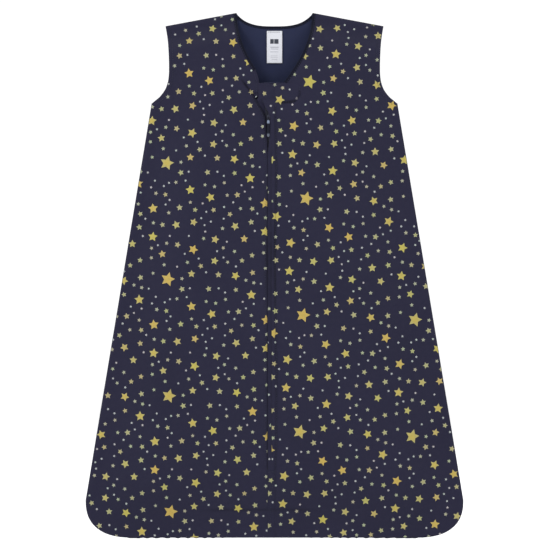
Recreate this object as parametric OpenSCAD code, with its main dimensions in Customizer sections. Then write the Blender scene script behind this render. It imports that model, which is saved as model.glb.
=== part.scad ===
// Sleeveless baby sleeping bag that hangs by its shoulders, front towards -Y.
// Millimetres, +Z up, z = 0 at the points where the shoulders meet the neck.
// Left and right are the viewer's. Each front half is cut along a straight fold line into a fixed
// part and a flap, so that the zip opening can fold out.

/* [Outline] */
// Length from the neck points to the bottom edge
bag_length = 656; // [560:1:900]
// Half of the widest width, just above the bottom corners
hem_half = 236; // [190:1:320]
// Half of the width under the arms
chest_half = 153.5; // [130:0.5:200]
// Drop from the neck points to the underarm
underarm_drop = 113; // [95:1:150]
// Half of the width over the shoulder ends
shoulder_half = 136; // [115:1:170]
// Narrowest half width between the armholes
across_half = 131; // [110:1:165]
// Drop of the shoulder line from neck to arm
shoulder_drop = 16.5; // [8:0.5:30]
// Half of the neck width
neck_half = 48; // [40:1:65]
// Depth of the parabola that the front neckline follows
front_neck_drop = 102; // [80:1:130]
// Depth of the back neckline
back_neck_drop = 17; // [8:0.5:30]
// Width of a rounded bottom corner
corner_w = 60; // [30:1:90]
// Height of a rounded bottom corner
corner_h = 47; // [25:1:80]

/* [Fabric] */
// Thickness of a fabric layer
fabric_t = 1.6; // [0.8:0.1:3]
// Distance from the middle plane to each outer face
half_depth = 12; // [11:0.5:25]
// Width of the inside seam allowances
seam_w = 7.5; // [4:0.5:8]
// Width of the armhole bindings
binding_w = 6; // [4:0.5:8]
// Width of the neck bindings
neck_binding_w = 4; // [3:0.5:5]
// How thick a binding strip is
binding_t = 0.85; // [0.5:0.05:1.5]
// Distance over which the front lifts away from a side seam
side_run = 70; // [50:1:90]
// Distance over which the front lifts away from the bottom seam
bottom_run = 76; // [50:1:78]
// Distance over which the front lifts away from a shoulder seam
shoulder_run = 31; // [20:1:32]

/* [Opening] */
// Sideways place of the zip
zip_x = -5; // [-10:0.5:0]
// Half of the gap between the two fabric edges at the zip
half_gap = 5.2; // [5:0.1:7]
// Height below the neck points where a fold line meets the neckline
fold_drop = 40; // [36:1:50]
// Distance from the zip to the lower end of a fold line
fold_half = 7; // [6.6:0.1:12]
// Depth below the neck points where the opening ends
opening_end = 569; // [470:1:575]
// Clearance on each side of a fold line
fold_gap = 0.3; // [0.2:0.1:0.6]
// Height of the top edge of the chin guard, below the neck points
guard_top = 88.6; // [84:0.2:95]

/* [Zip] */
// Height of the slider's middle below the neck points when the bag is closed
slider_drop = 133; // [130:1:140]
// Half of the slider's width
slider_half = 4.5; // [4:0.1:4.6]
// Length of the slider
slider_len = 10; // [8:0.5:11]
// Thickness of a zip tape
tape_t = 0.6; // [0.4:0.1:0.9]
// Width of a coil
coil_w = 2.05; // [1.5:0.05:2.3]
// Radius of the slider's bar that the pull hangs on
bar_r = 0.55; // [0.45:0.05:0.6]
// Radial clearance of the pull's eye on the bar
eye_gap = 0.07; // [0.03:0.01:0.1]
// Width of the pull tab
pull_w = 3.1; // [2.6:0.1:3.2]
// Length of the pull tab below its bar
pull_len = 23; // [12:0.5:26]

/* [Label] */
// Width of the neck label
label_w = 18.8; // [15:0.1:30]
// Length of the neck label
label_len = 40; // [25:0.5:42]
// Thickness of the folded label
label_t = 0.8; // [0.5:0.1:1.2]

/* [Hidden] */

yf = -half_depth;                    // outer face of the front
yb = half_depth;                     // outer face of the back
seam_y = yb - fabric_t - 1.2;        // front face of the seam allowances
seam_in = seam_y - 0.05;             // inner face of the front panel where it is sewn down
lift = seam_in - (yf + fabric_t);    // how far the front lifts off the seams
corner_top = -(bag_length - corner_h);
side_slope = (hem_half - chest_half) / (-underarm_drop - corner_top);
neck_rows = 5;
arm_rows = 9;
body_rows = 8;
hem_rows = 12;
cols = 12;
slider_z = -slider_drop;
bar_y = yf - 2.95;
pull_x = zip_x - 2.75;               // the pull hangs beside the lap that covers the zip

function ramp(t) = let (c = min(1, max(0, t))) c * c * (3 - 2 * c);
function shoulder_z(ax) = -shoulder_drop * max(0, ax - neck_half) / (shoulder_half - neck_half);
function neck_x(z) = neck_half * (1 - pow(-z / front_neck_drop, 2));
function neck_z(ax) = -front_neck_drop * sqrt(1 - ax / neck_half);
function back_neck_z(ax) = -back_neck_drop * pow(max(0, 1 - pow(ax / neck_half, 3)), 0.8);
function arm_x(z) = let (m = -0.55 * underarm_drop)
  across_half + (z > m ? (shoulder_half - across_half) * pow((z - m) / (-shoulder_drop - m), 2)
                       : (chest_half - across_half) * pow((m - z) / (m + underarm_drop), 3.5));
function side_x(z) = z > corner_top ? chest_half + (-underarm_drop - z) * side_slope
  : hem_half - corner_w * (1 - pow(max(0, 1 - pow(min(1, (corner_top - z) / corner_h), 2.5)), 0.4));
function edge_x(z) = z > -underarm_drop ? arm_x(z) : side_x(z);
function fold_x(z, s) = let (a = (-z - fold_drop) / (opening_end - fold_drop))
  neck_x(-fold_drop) * (1 - a) + (fold_half + s * zip_x) * a;

// outer face of the front, as a height over the place on the outline
function side_dist(ax, z) = z > -underarm_drop ? norm([ax - chest_half, z + underarm_drop]) : (side_x(z) - ax) * 0.986;
function front_y(ax, z) = seam_in - fabric_t - lift * ramp((side_dist(ax, z) - 8) / side_run)
  * ramp((z + bag_length - 8) / bottom_run) * ramp((shoulder_z(ax) - z - 8) / shoulder_run);

// rows of a front panel: each is [inner x, inner z, outer x, outer z]
function top_row(zi, s) = let (a = -zi / underarm_drop, zo = -shoulder_drop - (underarm_drop - shoulder_drop) * a)
  [zi > -fold_drop ? neck_x(zi) : fold_x(zi, s) + fold_gap, zi, arm_x(zo), zo];
function low_row(z, s) = [z >= -opening_end ? fold_x(z, s) + fold_gap : s * zip_x + 0.1, z, side_x(z), z];
function panel_rows(s) = concat(
  [for (k = [0:neck_rows]) top_row(-fold_drop * k / neck_rows, s)],
  [for (k = [1:arm_rows]) top_row(-fold_drop - (underarm_drop - fold_drop) * k / arm_rows, s)],
  [for (k = [1:body_rows]) low_row(-underarm_drop - (opening_end - underarm_drop) * k / body_rows, s)],
  [for (k = [0:4]) low_row(-opening_end - 0.6 - (-corner_top - opening_end - 0.6) * k / 4, s)],
  [for (k = [1:hem_rows]) low_row(corner_top - corner_h * sin(90 * k / hem_rows), s)]);
function row_x(r, j) = j == 0 ? r[0] : j == 1 ? r[0] + neck_binding_w
  : j == cols + 2 ? r[2]
  : r[0] + neck_binding_w + (r[2] - binding_w - r[0] - neck_binding_w) * (1 - pow(1 - (j - 1) / cols, 1.4));
function row_z(r, j) = r[1] + (r[3] - r[1]) * (row_x(r, j) - r[0]) / (r[2] - r[0]);
function row_points(r, j0, j1, s, dy) = [for (j = [j0:j1]) let (ax = row_x(r, j), z = row_z(r, j)) [s * ax, front_y(ax, z) + dy, z]];

function turned(f, s) = s > 0 ? f : [for (i = [len(f) - 1:-1:0]) f[i]];
function quad(a, b, c, d, s) = [turned([a, b, c], s), turned([a, c, d], s)];

// a layer of thickness t behind a grid of points, rows going down and columns going outwards
module layer(grid, t, s) {
  n = len(grid);
  m = len(grid[0]);
  k = n * m;
  points = concat([for (r = grid) for (p = r) p], [for (r = grid) for (p = r) p + [0, t, 0]]);
  faces = concat(
    [for (i = [0:n - 2]) for (j = [0:m - 2]) for (f = quad(i * m + j, i * m + j + 1, i * m + m + j + 1, i * m + m + j, s)) f],
    [for (i = [0:n - 2]) for (j = [0:m - 2]) for (f = quad(k + i * m + j, k + i * m + m + j, k + i * m + m + j + 1, k + i * m + j + 1, s)) f],
    [for (j = [0:m - 2]) for (f = quad(j + 1, j, k + j, k + j + 1, s)) f],
    [for (j = [0:m - 2]) for (f = quad(k - m + j, k - m + j + 1, k + k - m + j + 1, k + k - m + j, s)) f],
    [for (i = [0:n - 2]) for (f = quad(i * m, i * m + m, k + i * m + m, k + i * m, s)) f],
    [for (i = [0:n - 2]) for (f = quad(i * m + m + m - 1, i * m + m - 1, k + i * m + m - 1, k + i * m + m + m - 1, s)) f]);
  polyhedron(points, faces, convexity = 6);
}

// an upright sheet from y0 back to y1, drawn as x and z
module sheet(y0, y1) { translate([0, y1, 0]) rotate([90, 0, 0]) linear_extrude(y1 - y0) children(); }

function half_outline() = concat(
  [for (k = [0:12]) let (x = neck_half * sin(90 * k / 12)) [x, back_neck_z(x)]],
  [for (k = [0:14]) let (z = -shoulder_drop - (underarm_drop - shoulder_drop) * k / 14) [arm_x(z), z]],
  [for (k = [0:14]) let (z = corner_top - corner_h * sin(90 * k / 14)) [side_x(z), z]]);
module outline() {
  h = half_outline();
  polygon(concat(h, [for (i = [len(h) - 1:-1:1]) [-h[i][0], h[i][1]]]));
}
module edge_band(w) { difference() { outline(); offset(delta = -w) outline(); } }
module window(x0, x1, z0, z1) { translate([x0, z0]) square([x1 - x0, z1 - z0]); }

module back_panel() { color([0.17, 0.19, 0.27]) sheet(yb - fabric_t, yb) outline(); }

module front_panel(s) {
  rows = panel_rows(s);
  color([0.19, 0.19, 0.25]) layer([for (r = rows) row_points(r, 0, cols + 2, s, 0)], fabric_t, s);
}
module front_panel_left() { front_panel(-1); }
module front_panel_right() { front_panel(1); }

module centre_seam() {
  zs = [for (r = panel_rows(1)) if (r[1] < -opening_end - 0.3 && r[1] > -bag_length + 9) r[1]];
  color([0.12, 0.12, 0.18]) layer([for (z = zs) [for (x = [zip_x - 4, zip_x + 4]) [x, front_y(0, z) + fabric_t + 0.06, z]]], 1, 1);
}

module back_neck_binding() {
  color([0.2, 0.2, 0.28]) sheet(seam_y, yb - fabric_t)
    intersection() { edge_band(neck_binding_w + 1.5); window(-neck_half + 6, neck_half - 6, -40, 5); }
}

module neck_binding(s) {
  rows = panel_rows(s);
  color([0.2, 0.2, 0.28]) layer([for (i = [1:neck_rows]) row_points(rows[i], 0, 1, s, -binding_t - 0.05)], binding_t, s);
}
module neck_binding_left() { neck_binding(-1); }
module neck_binding_right() { neck_binding(1); }

module armhole_binding(s) {
  rows = panel_rows(s);
  color([0.2, 0.2, 0.28]) {
    layer([for (i = [1:neck_rows + arm_rows]) row_points(rows[i], cols + 1, cols + 2, s, -binding_t - 0.05)], binding_t, s);
    sheet(seam_y + 0.3, yb - fabric_t - 0.05) intersection() {
      edge_band(binding_w);
      window(s > 0 ? across_half - binding_w - 2 : -chest_half, s > 0 ? chest_half : -across_half + binding_w + 2, -underarm_drop + 1, -shoulder_drop - seam_w - 1);
    }
  }
}
module armhole_binding_left() { armhole_binding(-1); }
module armhole_binding_right() { armhole_binding(1); }

module shoulder_seam(s) {
  color([0.12, 0.12, 0.18]) sheet(seam_y, yb - fabric_t) intersection() {
    edge_band(seam_w);
    window(s > 0 ? neck_half + 3 : -shoulder_half + 2, s > 0 ? shoulder_half - 2 : -neck_half - 3, -shoulder_drop - seam_w, 1);
  }
}
module shoulder_seam_left() { shoulder_seam(-1); }
module shoulder_seam_right() { shoulder_seam(1); }

module side_seam(s) {
  color([0.12, 0.12, 0.18]) sheet(seam_y, yb - fabric_t) intersection() {
    edge_band(seam_w);
    window(s > 0 ? chest_half - 12 : -hem_half - 1, s > 0 ? hem_half + 1 : -chest_half + 12, corner_top + 1, -underarm_drop - 4);
  }
}
module side_seam_left() { side_seam(-1); }
module side_seam_right() { side_seam(1); }

module bottom_hem() {
  color([0.12, 0.12, 0.18]) sheet(seam_y, yb - fabric_t) intersection() {
    edge_band(seam_w);
    window(-hem_half - 1, hem_half + 1, -bag_length - 1, corner_top - 1);
  }
}

module zipper_bottom_stop() {
  color([0.2, 0.22, 0.3]) translate([zip_x - 3, yf - 0.2, -opening_end - 0.2]) cube([6, 1.8, 4.6]);
}

// the flaps lie flat in the front plane; the left one is drawn by distance from the middle, then mirrored
module front_flap_left() {
  e = -zip_x + half_gap;
  low = [[21.6, -84], [22.5, -92], [24, -101], [24.6, -107], [22.5, -112.5], [18.5, -118], [e + 1.4, -124.5], [e, -131], [e, -opening_end], [fold_x(-opening_end, -1) - fold_gap, -opening_end]];
  top = [for (k = [0:10]) let (x0 = fold_x(-fold_drop, -1) - fold_gap, x = x0 + (21.6 - x0) * k / 10) [x, neck_z(x)]];
  color([0.19, 0.19, 0.25]) sheet(yf, yf + fabric_t) polygon([for (q = concat(top, low)) [-q[0], q[1]]]);
}
module front_flap_right() {
  e = zip_x + half_gap;
  low = [[11.6, -guard_top + 0.2], [e, -guard_top + 0.2], [e, -opening_end], [fold_x(-opening_end, 1) - fold_gap, -opening_end]];
  top = [for (k = [0:10]) let (x0 = fold_x(-fold_drop, 1) - fold_gap, x = x0 + (12.8 - x0) * k / 10) [x, neck_z(x)]];
  color([0.19, 0.19, 0.25]) sheet(yf, yf + fabric_t) polygon(concat(top, low));
}

module flap_neck_binding(s, x_end) {
  x0 = 35.5;
  xs = [for (k = [0:10]) x0 + (x_end - x0) * k / 10];
  inner = [for (i = [10:-1:0]) let (x = xs[i], m = front_neck_drop / (2 * neck_half * sqrt(1 - x / neck_half)), n = norm([m, 1]))
    [x + neck_binding_w * m / n, neck_z(x) - neck_binding_w / n]];
  color([0.2, 0.2, 0.28]) sheet(yf - binding_t - 0.05, yf - 0.05)
    polygon([for (q = concat([for (x = xs) [x, neck_z(x)]], inner)) [s * q[0], q[1]]]);
}
module flap_neck_binding_left() { flap_neck_binding(-1, 23); }
module flap_neck_binding_right() { flap_neck_binding(1, 15); }

module tape(s) {
  a = zip_x + s * 0.6;
  b = zip_x + s * (fold_half - 0.8);
  color([0.1, 0.11, 0.18]) sheet(yf + fabric_t + 0.1, yf + fabric_t + 0.1 + tape_t)
    window(min(a, b), max(a, b), -opening_end, -slider_drop + 17);
}
module zipper_tape_left() { tape(-1); }
module zipper_tape_right() { tape(1); }

module coil(s) {
  y0 = yf - 0.1;
  y1 = yf + fabric_t + 0.05;
  c = (y1 - y0) / 3;
  color([0.12, 0.13, 0.2]) translate([zip_x, 0, -opening_end + 6]) linear_extrude(opening_end - 6 - slider_drop + 1.5)
    polygon([for (q = [[0.06, y0 + c], [0.06, y1], [coil_w, y1], [coil_w, y0 + c], [coil_w - c, y0], [0.06 + c, y0]]) [s * q[0], q[1]]]);
}
module zipper_coil_left() { coil(-1); }
module zipper_coil_right() { coil(1); }

module top_stop(s) {
  color([0.2, 0.22, 0.3]) translate([zip_x + (s > 0 ? 0.3 : -2.3), yf + 0.1, slider_z + 6]) cube([2, fabric_t - 0.15, 3]);
}
module zipper_top_stop_left() { top_stop(-1); }
module zipper_top_stop_right() { top_stop(1); }

module zip_guard() {
  y0 = yf + fabric_t + 0.1;
  color([0.19, 0.19, 0.25]) sheet(y0, y0 + 1.2)
    polygon([[-16.5, -guard_top], [-18.6, -guard_top - 0.9], [-19.5, -guard_top - 3], [-19.5, -113], [24, -113], [28, -111], [30.4, -106.5], [31, -101], [31, -guard_top]]);
}

module zip_cover_welt() {
  color([0.19, 0.19, 0.25]) translate([zip_x, 0, -opening_end + 1]) linear_extrude(opening_end - 1 - 114)
    polygon([[6.5, yf - 0.05], [5.3, yf - 0.05], [4.9, yf - 2.2], [-0.6, yf - 2.2], [-0.6, yf - 3.4], [5.1, yf - 3.4], [6.5, yf - 1.4]]);
}

module slider_body() {
  w = slider_half;
  h = slider_len / 2;
  color([0.3, 0.33, 0.42]) {
    translate([zip_x, 0, slider_z]) {
      sheet(yf - 1.2, yf - 0.5) polygon([[-w, h - 1.5], [-w + 1.5, h], [w - 1.5, h], [w, h - 1.5], [w - 0.9, -h + 1], [w - 2, -h], [-w + 2, -h], [-w + 0.4, -h + 1]]);
      sheet(yf + 3, yf + 3.7) polygon([[-w + 0.3, h - 1.5], [-w + 1.8, h], [w - 1.8, h], [w - 0.3, h - 1.5], [w - 1, -h + 1], [w - 2.2, -h], [-w + 2.2, -h], [-w + 1, -h + 1]]);
      translate([-0.45, yf - 0.6, 2]) cube([0.9, 3.7, 2.4]);
      translate([pull_x - zip_x - 1.65, yf - 3.5, -0.8]) cube([0.7, 2.6, 1.6]);
      translate([pull_x - zip_x + 1, yf - 3.5, -0.8]) cube([0.7, 2.6, 1.6]);
    }
    translate([pull_x - 1.5, bar_y, slider_z]) rotate([0, 90, 0]) cylinder(r = bar_r, h = 3, $fn = 48);
  }
}

module pull_tab() {
  t = 1;
  color([0.3, 0.33, 0.42]) difference() {
    union() {
      translate([pull_x - 0.75, bar_y, slider_z]) rotate([0, 90, 0]) cylinder(r = 1.25, h = 1.5, $fn = 48);
      translate([pull_x - 0.75, bar_y - t / 2, slider_z - 3.5]) cube([1.5, t, 3]);
      sheet(bar_y - t / 2, bar_y + t / 2) translate([pull_x, slider_z]) polygon([[-pull_w / 2 + 0.5, -2.6], [pull_w / 2 - 0.5, -2.6], [pull_w / 2, -3.4], [pull_w / 2, -pull_len + 1.2], [pull_w / 2 - 1, -pull_len], [-pull_w / 2 + 1, -pull_len], [-pull_w / 2, -pull_len + 1.2], [-pull_w / 2, -3.4]]);
    }
    translate([pull_x - 2, bar_y, slider_z]) rotate([0, 90, 0]) cylinder(r = bar_r + eye_gap, h = 4, $fn = 48);
  }
}

module neck_label() {
  y1 = seam_y - 0.2;
  z1 = -back_neck_drop - neck_binding_w - 1.6;
  color([0.9, 0.91, 0.94]) sheet(y1 - label_t, y1) window(-label_w / 2, label_w / 2, z1 - label_len, z1);
}

back_panel();
front_panel_left();
front_panel_right();
centre_seam();
back_neck_binding();
neck_binding_left();
neck_binding_right();
armhole_binding_left();
armhole_binding_right();
shoulder_seam_left();
shoulder_seam_right();
side_seam_left();
side_seam_right();
bottom_hem();
zipper_bottom_stop();
front_flap_left();
flap_neck_binding_left();
zipper_tape_left();
zipper_coil_left();
zipper_top_stop_left();
front_flap_right();
flap_neck_binding_right();
zipper_tape_right();
zipper_coil_right();
zipper_top_stop_right();
zip_guard();
zip_cover_welt();
slider_body();
pull_tab();
neck_label();
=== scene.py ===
import math
import random

import bmesh
import bpy
import numpy as np
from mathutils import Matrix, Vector
from mathutils.bvhtree import BVHTree


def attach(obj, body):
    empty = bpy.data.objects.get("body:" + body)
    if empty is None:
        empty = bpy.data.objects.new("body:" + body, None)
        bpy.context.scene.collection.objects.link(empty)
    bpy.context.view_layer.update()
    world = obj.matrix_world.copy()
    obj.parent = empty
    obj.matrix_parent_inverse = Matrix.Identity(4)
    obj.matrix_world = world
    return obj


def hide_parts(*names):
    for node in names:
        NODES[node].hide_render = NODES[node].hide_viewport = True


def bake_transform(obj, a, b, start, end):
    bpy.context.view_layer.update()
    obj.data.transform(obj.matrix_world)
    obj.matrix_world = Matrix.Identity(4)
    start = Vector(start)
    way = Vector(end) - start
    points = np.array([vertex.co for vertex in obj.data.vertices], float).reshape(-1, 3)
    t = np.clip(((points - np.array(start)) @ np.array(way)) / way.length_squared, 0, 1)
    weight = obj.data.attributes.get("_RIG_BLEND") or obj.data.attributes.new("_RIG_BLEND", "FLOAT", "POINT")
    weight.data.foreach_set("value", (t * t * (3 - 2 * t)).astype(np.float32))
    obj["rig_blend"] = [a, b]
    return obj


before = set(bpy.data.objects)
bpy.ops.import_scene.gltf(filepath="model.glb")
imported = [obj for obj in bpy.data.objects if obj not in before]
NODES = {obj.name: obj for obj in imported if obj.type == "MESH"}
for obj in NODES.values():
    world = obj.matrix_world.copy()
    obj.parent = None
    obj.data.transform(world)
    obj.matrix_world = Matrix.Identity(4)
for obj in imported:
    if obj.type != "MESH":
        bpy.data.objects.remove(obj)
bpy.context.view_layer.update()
MM = 0.001

# ---------------------------------------------------------------- camera and stage
SCENE = bpy.context.scene
VIEW_WIDTH = 0.6875
CAM_DISTANCE = 3.4
cam_data = bpy.data.cameras.new("camera")
cam_data.lens = 36.0 * CAM_DISTANCE / VIEW_WIDTH
cam_data.sensor_width = 36.0
cam_data.clip_start = 0.05
cam_data.clip_end = 30.0
camera = bpy.data.objects.new("camera", cam_data)
camera.location = (0.0006, 0.008 - CAM_DISTANCE, -0.3275)
camera.rotation_euler = (math.radians(90), 0, 0)
SCENE.collection.objects.link(camera)
SCENE.camera = camera
SCENE.view_settings.view_transform = "Standard"
SCENE.view_settings.look = "None"


# ---------------------------------------------------------------- node helpers
def srgb(r, g, b):
    out = []
    for c in (r, g, b):
        c = c / 255.0
        out.append(c / 12.92 if c <= 0.04045 else ((c + 0.055) / 1.055) ** 2.4)
    return (out[0], out[1], out[2], 1.0)


def new_material(name):
    m = bpy.data.materials.new(name)
    m.use_nodes = True
    nt = m.node_tree
    for n in list(nt.nodes):
        nt.nodes.remove(n)
    out = nt.nodes.new("ShaderNodeOutputMaterial")
    bsdf = nt.nodes.new("ShaderNodeBsdfPrincipled")
    nt.links.new(bsdf.outputs[0], out.inputs[0])
    return m, nt, bsdf


def math_node(nt, op, a, b=None):
    n = nt.nodes.new("ShaderNodeMath")
    n.operation = op
    for i, v in enumerate((a, b)):
        if v is None:
            continue
        if isinstance(v, (int, float)):
            n.inputs[i].default_value = v
        else:
            nt.links.new(v, n.inputs[i])
    return n.outputs[0]


def mix_colour(nt, fac, a, b):
    n = nt.nodes.new("ShaderNodeMix")
    n.data_type = "RGBA"
    if isinstance(fac, (int, float)):
        n.inputs[0].default_value = fac
    else:
        nt.links.new(fac, n.inputs[0])
    for i, v in ((6, a), (7, b)):
        if isinstance(v, tuple):
            n.inputs[i].default_value = v
        else:
            nt.links.new(v, n.inputs[i])
    return n.outputs[2]


def map_range(nt, value, a, b, c, d):
    n = nt.nodes.new("ShaderNodeMapRange")
    nt.links.new(value, n.inputs[0])
    for i, v in enumerate((a, b, c, d)):
        n.inputs[i + 1].default_value = v
    return n.outputs[0]


def noise(nt, vector, scale, detail=3.0, rough=0.55):
    n = nt.nodes.new("ShaderNodeTexNoise")
    n.inputs["Scale"].default_value = scale
    n.inputs["Detail"].default_value = detail
    n.inputs["Roughness"].default_value = rough
    if vector is not None:
        nt.links.new(vector, n.inputs["Vector"])
    return n.outputs["Fac"]


def uv_of(nt, name="rest"):
    n = nt.nodes.new("ShaderNodeUVMap")
    n.uv_map = name
    s = nt.nodes.new("ShaderNodeSeparateXYZ")
    nt.links.new(n.outputs[0], s.inputs[0])
    return n.outputs[0], s.outputs[0], s.outputs[1]


def knit_height(nt, u, v, wale, course):
    """Plain jersey: columns of V-shaped stitches, one wale wide and one course tall, in the cloth's own rest coordinates."""
    pu = math_node(nt, "MULTIPLY", u, 2 * math.pi / wale)
    pv = math_node(nt, "MULTIPLY", v, 2 * math.pi / course)
    zig = math_node(nt, "MULTIPLY", math_node(nt, "SINE", pv), 0.9)
    col = math_node(nt, "ABSOLUTE", math_node(nt, "SINE", math_node(nt, "MULTIPLY", pu, 0.5)))
    leg = math_node(nt, "SINE", math_node(nt, "ADD", pu, zig))
    row = math_node(nt, "SINE", pv)
    h = math_node(nt, "MULTIPLY", col, 0.62)
    h = math_node(nt, "ADD", h, math_node(nt, "MULTIPLY", leg, 0.12))
    return math_node(nt, "ADD", h, math_node(nt, "MULTIPLY", row, 0.16))


def jersey(name, dark, light, wale=0.00085, course=0.0007, sheen=0.12, tint=(0.5, 0.5, 0.62, 1.0), bump=0.28, crease_shade=False):
    m, nt, b = new_material(name)
    vec, u, v = uv_of(nt)
    h = knit_height(nt, u, v, wale, course)
    big = noise(nt, vec, 9.0, 3.0)
    fine = noise(nt, vec, 900.0, 2.0, 0.7)
    slub = noise(nt, vec, 160.0, 3.0, 0.6)
    shade = map_range(nt, h, 0.0, 0.85, 0.0, 1.0)
    colour = mix_colour(nt, shade, dark, light)
    pale_tone_and_glint = mix_colour(nt, map_range(nt, big, 0.35, 0.65, 0.0, 0.28), colour, light)
    lint_and_crease_shade = mix_colour(nt, map_range(nt, slub, 0.62, 0.8, 0.0, 0.22), pale_tone_and_glint, tuple(min(1.0, c * 1.5) for c in light[:3]) + (1.0,))
    if crease_shade:
        # painted shade: creases and stitched lines hold less light, so a little shadow, free of the paler flecks, is
        # painted into the base colour there
        svec, painted_shade_depth, unused = uv_of(nt, "shade")
        crease_shade_amount = math_node(nt, "MULTIPLY", painted_shade_depth, map_range(nt, slub, 0.3, 0.7, 0.8, 1.1))
        lint_and_crease_shade = mix_colour(nt, map_range(nt, crease_shade_amount, 0.0, 1.0, 0.0, 0.9), lint_and_crease_shade, tuple(c * 0.12 for c in dark[:3]) + (1.0,))
    nt.links.new(lint_and_crease_shade, b.inputs["Base Color"])
    nt.links.new(map_range(nt, slub, 0.3, 0.7, 0.78, 0.95), b.inputs["Roughness"])
    total = math_node(nt, "ADD", h, math_node(nt, "MULTIPLY", fine, 0.35))
    bn = nt.nodes.new("ShaderNodeBump")
    bn.inputs["Strength"].default_value = bump
    bn.inputs["Distance"].default_value = 0.00022
    nt.links.new(total, bn.inputs["Height"])
    nt.links.new(bn.outputs[0], b.inputs["Normal"])
    b.inputs["Sheen Weight"].default_value = sheen
    b.inputs["Sheen Roughness"].default_value = 0.45
    b.inputs["Sheen Tint"].default_value = tint
    b.inputs["Specular IOR Level"].default_value = 0.12
    return m


def woven(name, dark, light, pitch=0.0006, rough=(0.55, 0.75), bump=0.3, sheen=0.05, spec=0.25):
    """Ribbed plain weave for tapes, bindings and ribbon."""
    m, nt, b = new_material(name)
    vec, u, v = uv_of(nt)
    pu = math_node(nt, "MULTIPLY", u, 2 * math.pi / pitch)
    pv = math_node(nt, "MULTIPLY", v, 2 * math.pi / pitch)
    h = math_node(nt, "MULTIPLY", math_node(nt, "SINE", pu), math_node(nt, "SINE", pv))
    n1 = noise(nt, vec, 60.0, 3.0)
    colour = mix_colour(nt, map_range(nt, h, -1.0, 1.0, 0.0, 1.0), dark, light)
    colour = mix_colour(nt, map_range(nt, n1, 0.35, 0.7, 0.0, 0.35), colour, light)
    nt.links.new(colour, b.inputs["Base Color"])
    nt.links.new(map_range(nt, n1, 0.3, 0.7, rough[0], rough[1]), b.inputs["Roughness"])
    bn = nt.nodes.new("ShaderNodeBump")
    bn.inputs["Strength"].default_value = bump
    bn.inputs["Distance"].default_value = 0.0001
    nt.links.new(h, bn.inputs["Height"])
    nt.links.new(bn.outputs[0], b.inputs["Normal"])
    b.inputs["Sheen Weight"].default_value = sheen
    b.inputs["Specular IOR Level"].default_value = spec
    return m


def thread(name, dark, light):
    """Twisted sewing thread, two plies."""
    m, nt, b = new_material(name)
    vec, u, v = uv_of(nt)
    ply = math_node(nt, "SINE", math_node(nt, "ADD", math_node(nt, "MULTIPLY", u, 2 * math.pi / 0.0005), math_node(nt, "MULTIPLY", v, 2 * math.pi * 2)))
    n1 = noise(nt, vec, 300.0, 2.0)
    c = mix_colour(nt, map_range(nt, ply, -1.0, 1.0, 0.0, 1.0), dark, light)
    nt.links.new(c, b.inputs["Base Color"])
    nt.links.new(map_range(nt, n1, 0.3, 0.7, 0.45, 0.65), b.inputs["Roughness"])
    bn = nt.nodes.new("ShaderNodeBump")
    bn.inputs["Strength"].default_value = 0.4
    bn.inputs["Distance"].default_value = 0.00008
    nt.links.new(ply, bn.inputs["Height"])
    nt.links.new(bn.outputs[0], b.inputs["Normal"])
    b.inputs["Specular IOR Level"].default_value = 0.3
    return m


def foil(name, middle, tip):
    """Screen-printed star ink: deeper in the middle, thinner over the stitches towards the points."""
    m, nt, b = new_material(name)
    vec, u, v = uv_of(nt)
    svec, rad, rnd = uv_of(nt, "star")
    h = knit_height(nt, u, v, 0.00085, 0.0007)
    n1 = noise(nt, vec, 380.0, 3.0, 0.65)
    n2 = noise(nt, vec, 1500.0, 2.0, 0.6)
    c = mix_colour(nt, map_range(nt, rad, 0.25, 0.95, 0.0, 1.0), middle, tip)
    warm = (middle[0] * 1.08, middle[1] * 0.9, middle[2] * 0.95, 1.0)
    cool = (middle[0] * 0.93, middle[1] * 1.08, middle[2] * 0.95, 1.0)
    c = mix_colour(nt, map_range(nt, rnd, 0.6, 0.95, 0.0, 0.7), c, warm)
    c = mix_colour(nt, map_range(nt, rnd, 0.35, 0.05, 0.0, 0.6), c, cool)
    dull = tuple(k * 0.62 for k in tip[:3]) + (1.0,)
    c = mix_colour(nt, map_range(nt, n1, 0.42, 0.75, 0.0, 0.45), c, dull)
    c = mix_colour(nt, map_range(nt, h, 0.35, 0.0, 0.0, 0.35), c, dull)
    nt.links.new(c, b.inputs["Base Color"])
    nt.links.new(map_range(nt, n2, 0.3, 0.7, 0.42, 0.7), b.inputs["Roughness"])
    total = math_node(nt, "ADD", h, math_node(nt, "MULTIPLY", n2, 0.4))
    bn = nt.nodes.new("ShaderNodeBump")
    bn.inputs["Strength"].default_value = 0.22
    bn.inputs["Distance"].default_value = 0.00015
    nt.links.new(total, bn.inputs["Height"])
    nt.links.new(bn.outputs[0], b.inputs["Normal"])
    b.inputs["Specular IOR Level"].default_value = 0.3
    return m


def plastic(name, dark, light, rough=(0.3, 0.45), metallic=0.0, spec=0.5, scale=700.0):
    m, nt, b = new_material(name)
    tc = nt.nodes.new("ShaderNodeTexCoord")
    n1 = noise(nt, tc.outputs["Object"], scale, 4.0, 0.6)
    n2 = noise(nt, tc.outputs["Object"], scale * 0.2, 3.0, 0.5)
    c = mix_colour(nt, map_range(nt, n2, 0.35, 0.65, 0.0, 1.0), dark, light)
    nt.links.new(c, b.inputs["Base Color"])
    nt.links.new(map_range(nt, n1, 0.3, 0.7, rough[0], rough[1]), b.inputs["Roughness"])
    bn = nt.nodes.new("ShaderNodeBump")
    bn.inputs["Strength"].default_value = 0.12
    bn.inputs["Distance"].default_value = 0.00005
    nt.links.new(n1, bn.inputs["Height"])
    nt.links.new(bn.outputs[0], b.inputs["Normal"])
    b.inputs["Metallic"].default_value = metallic
    b.inputs["Specular IOR Level"].default_value = spec
    return m


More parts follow.
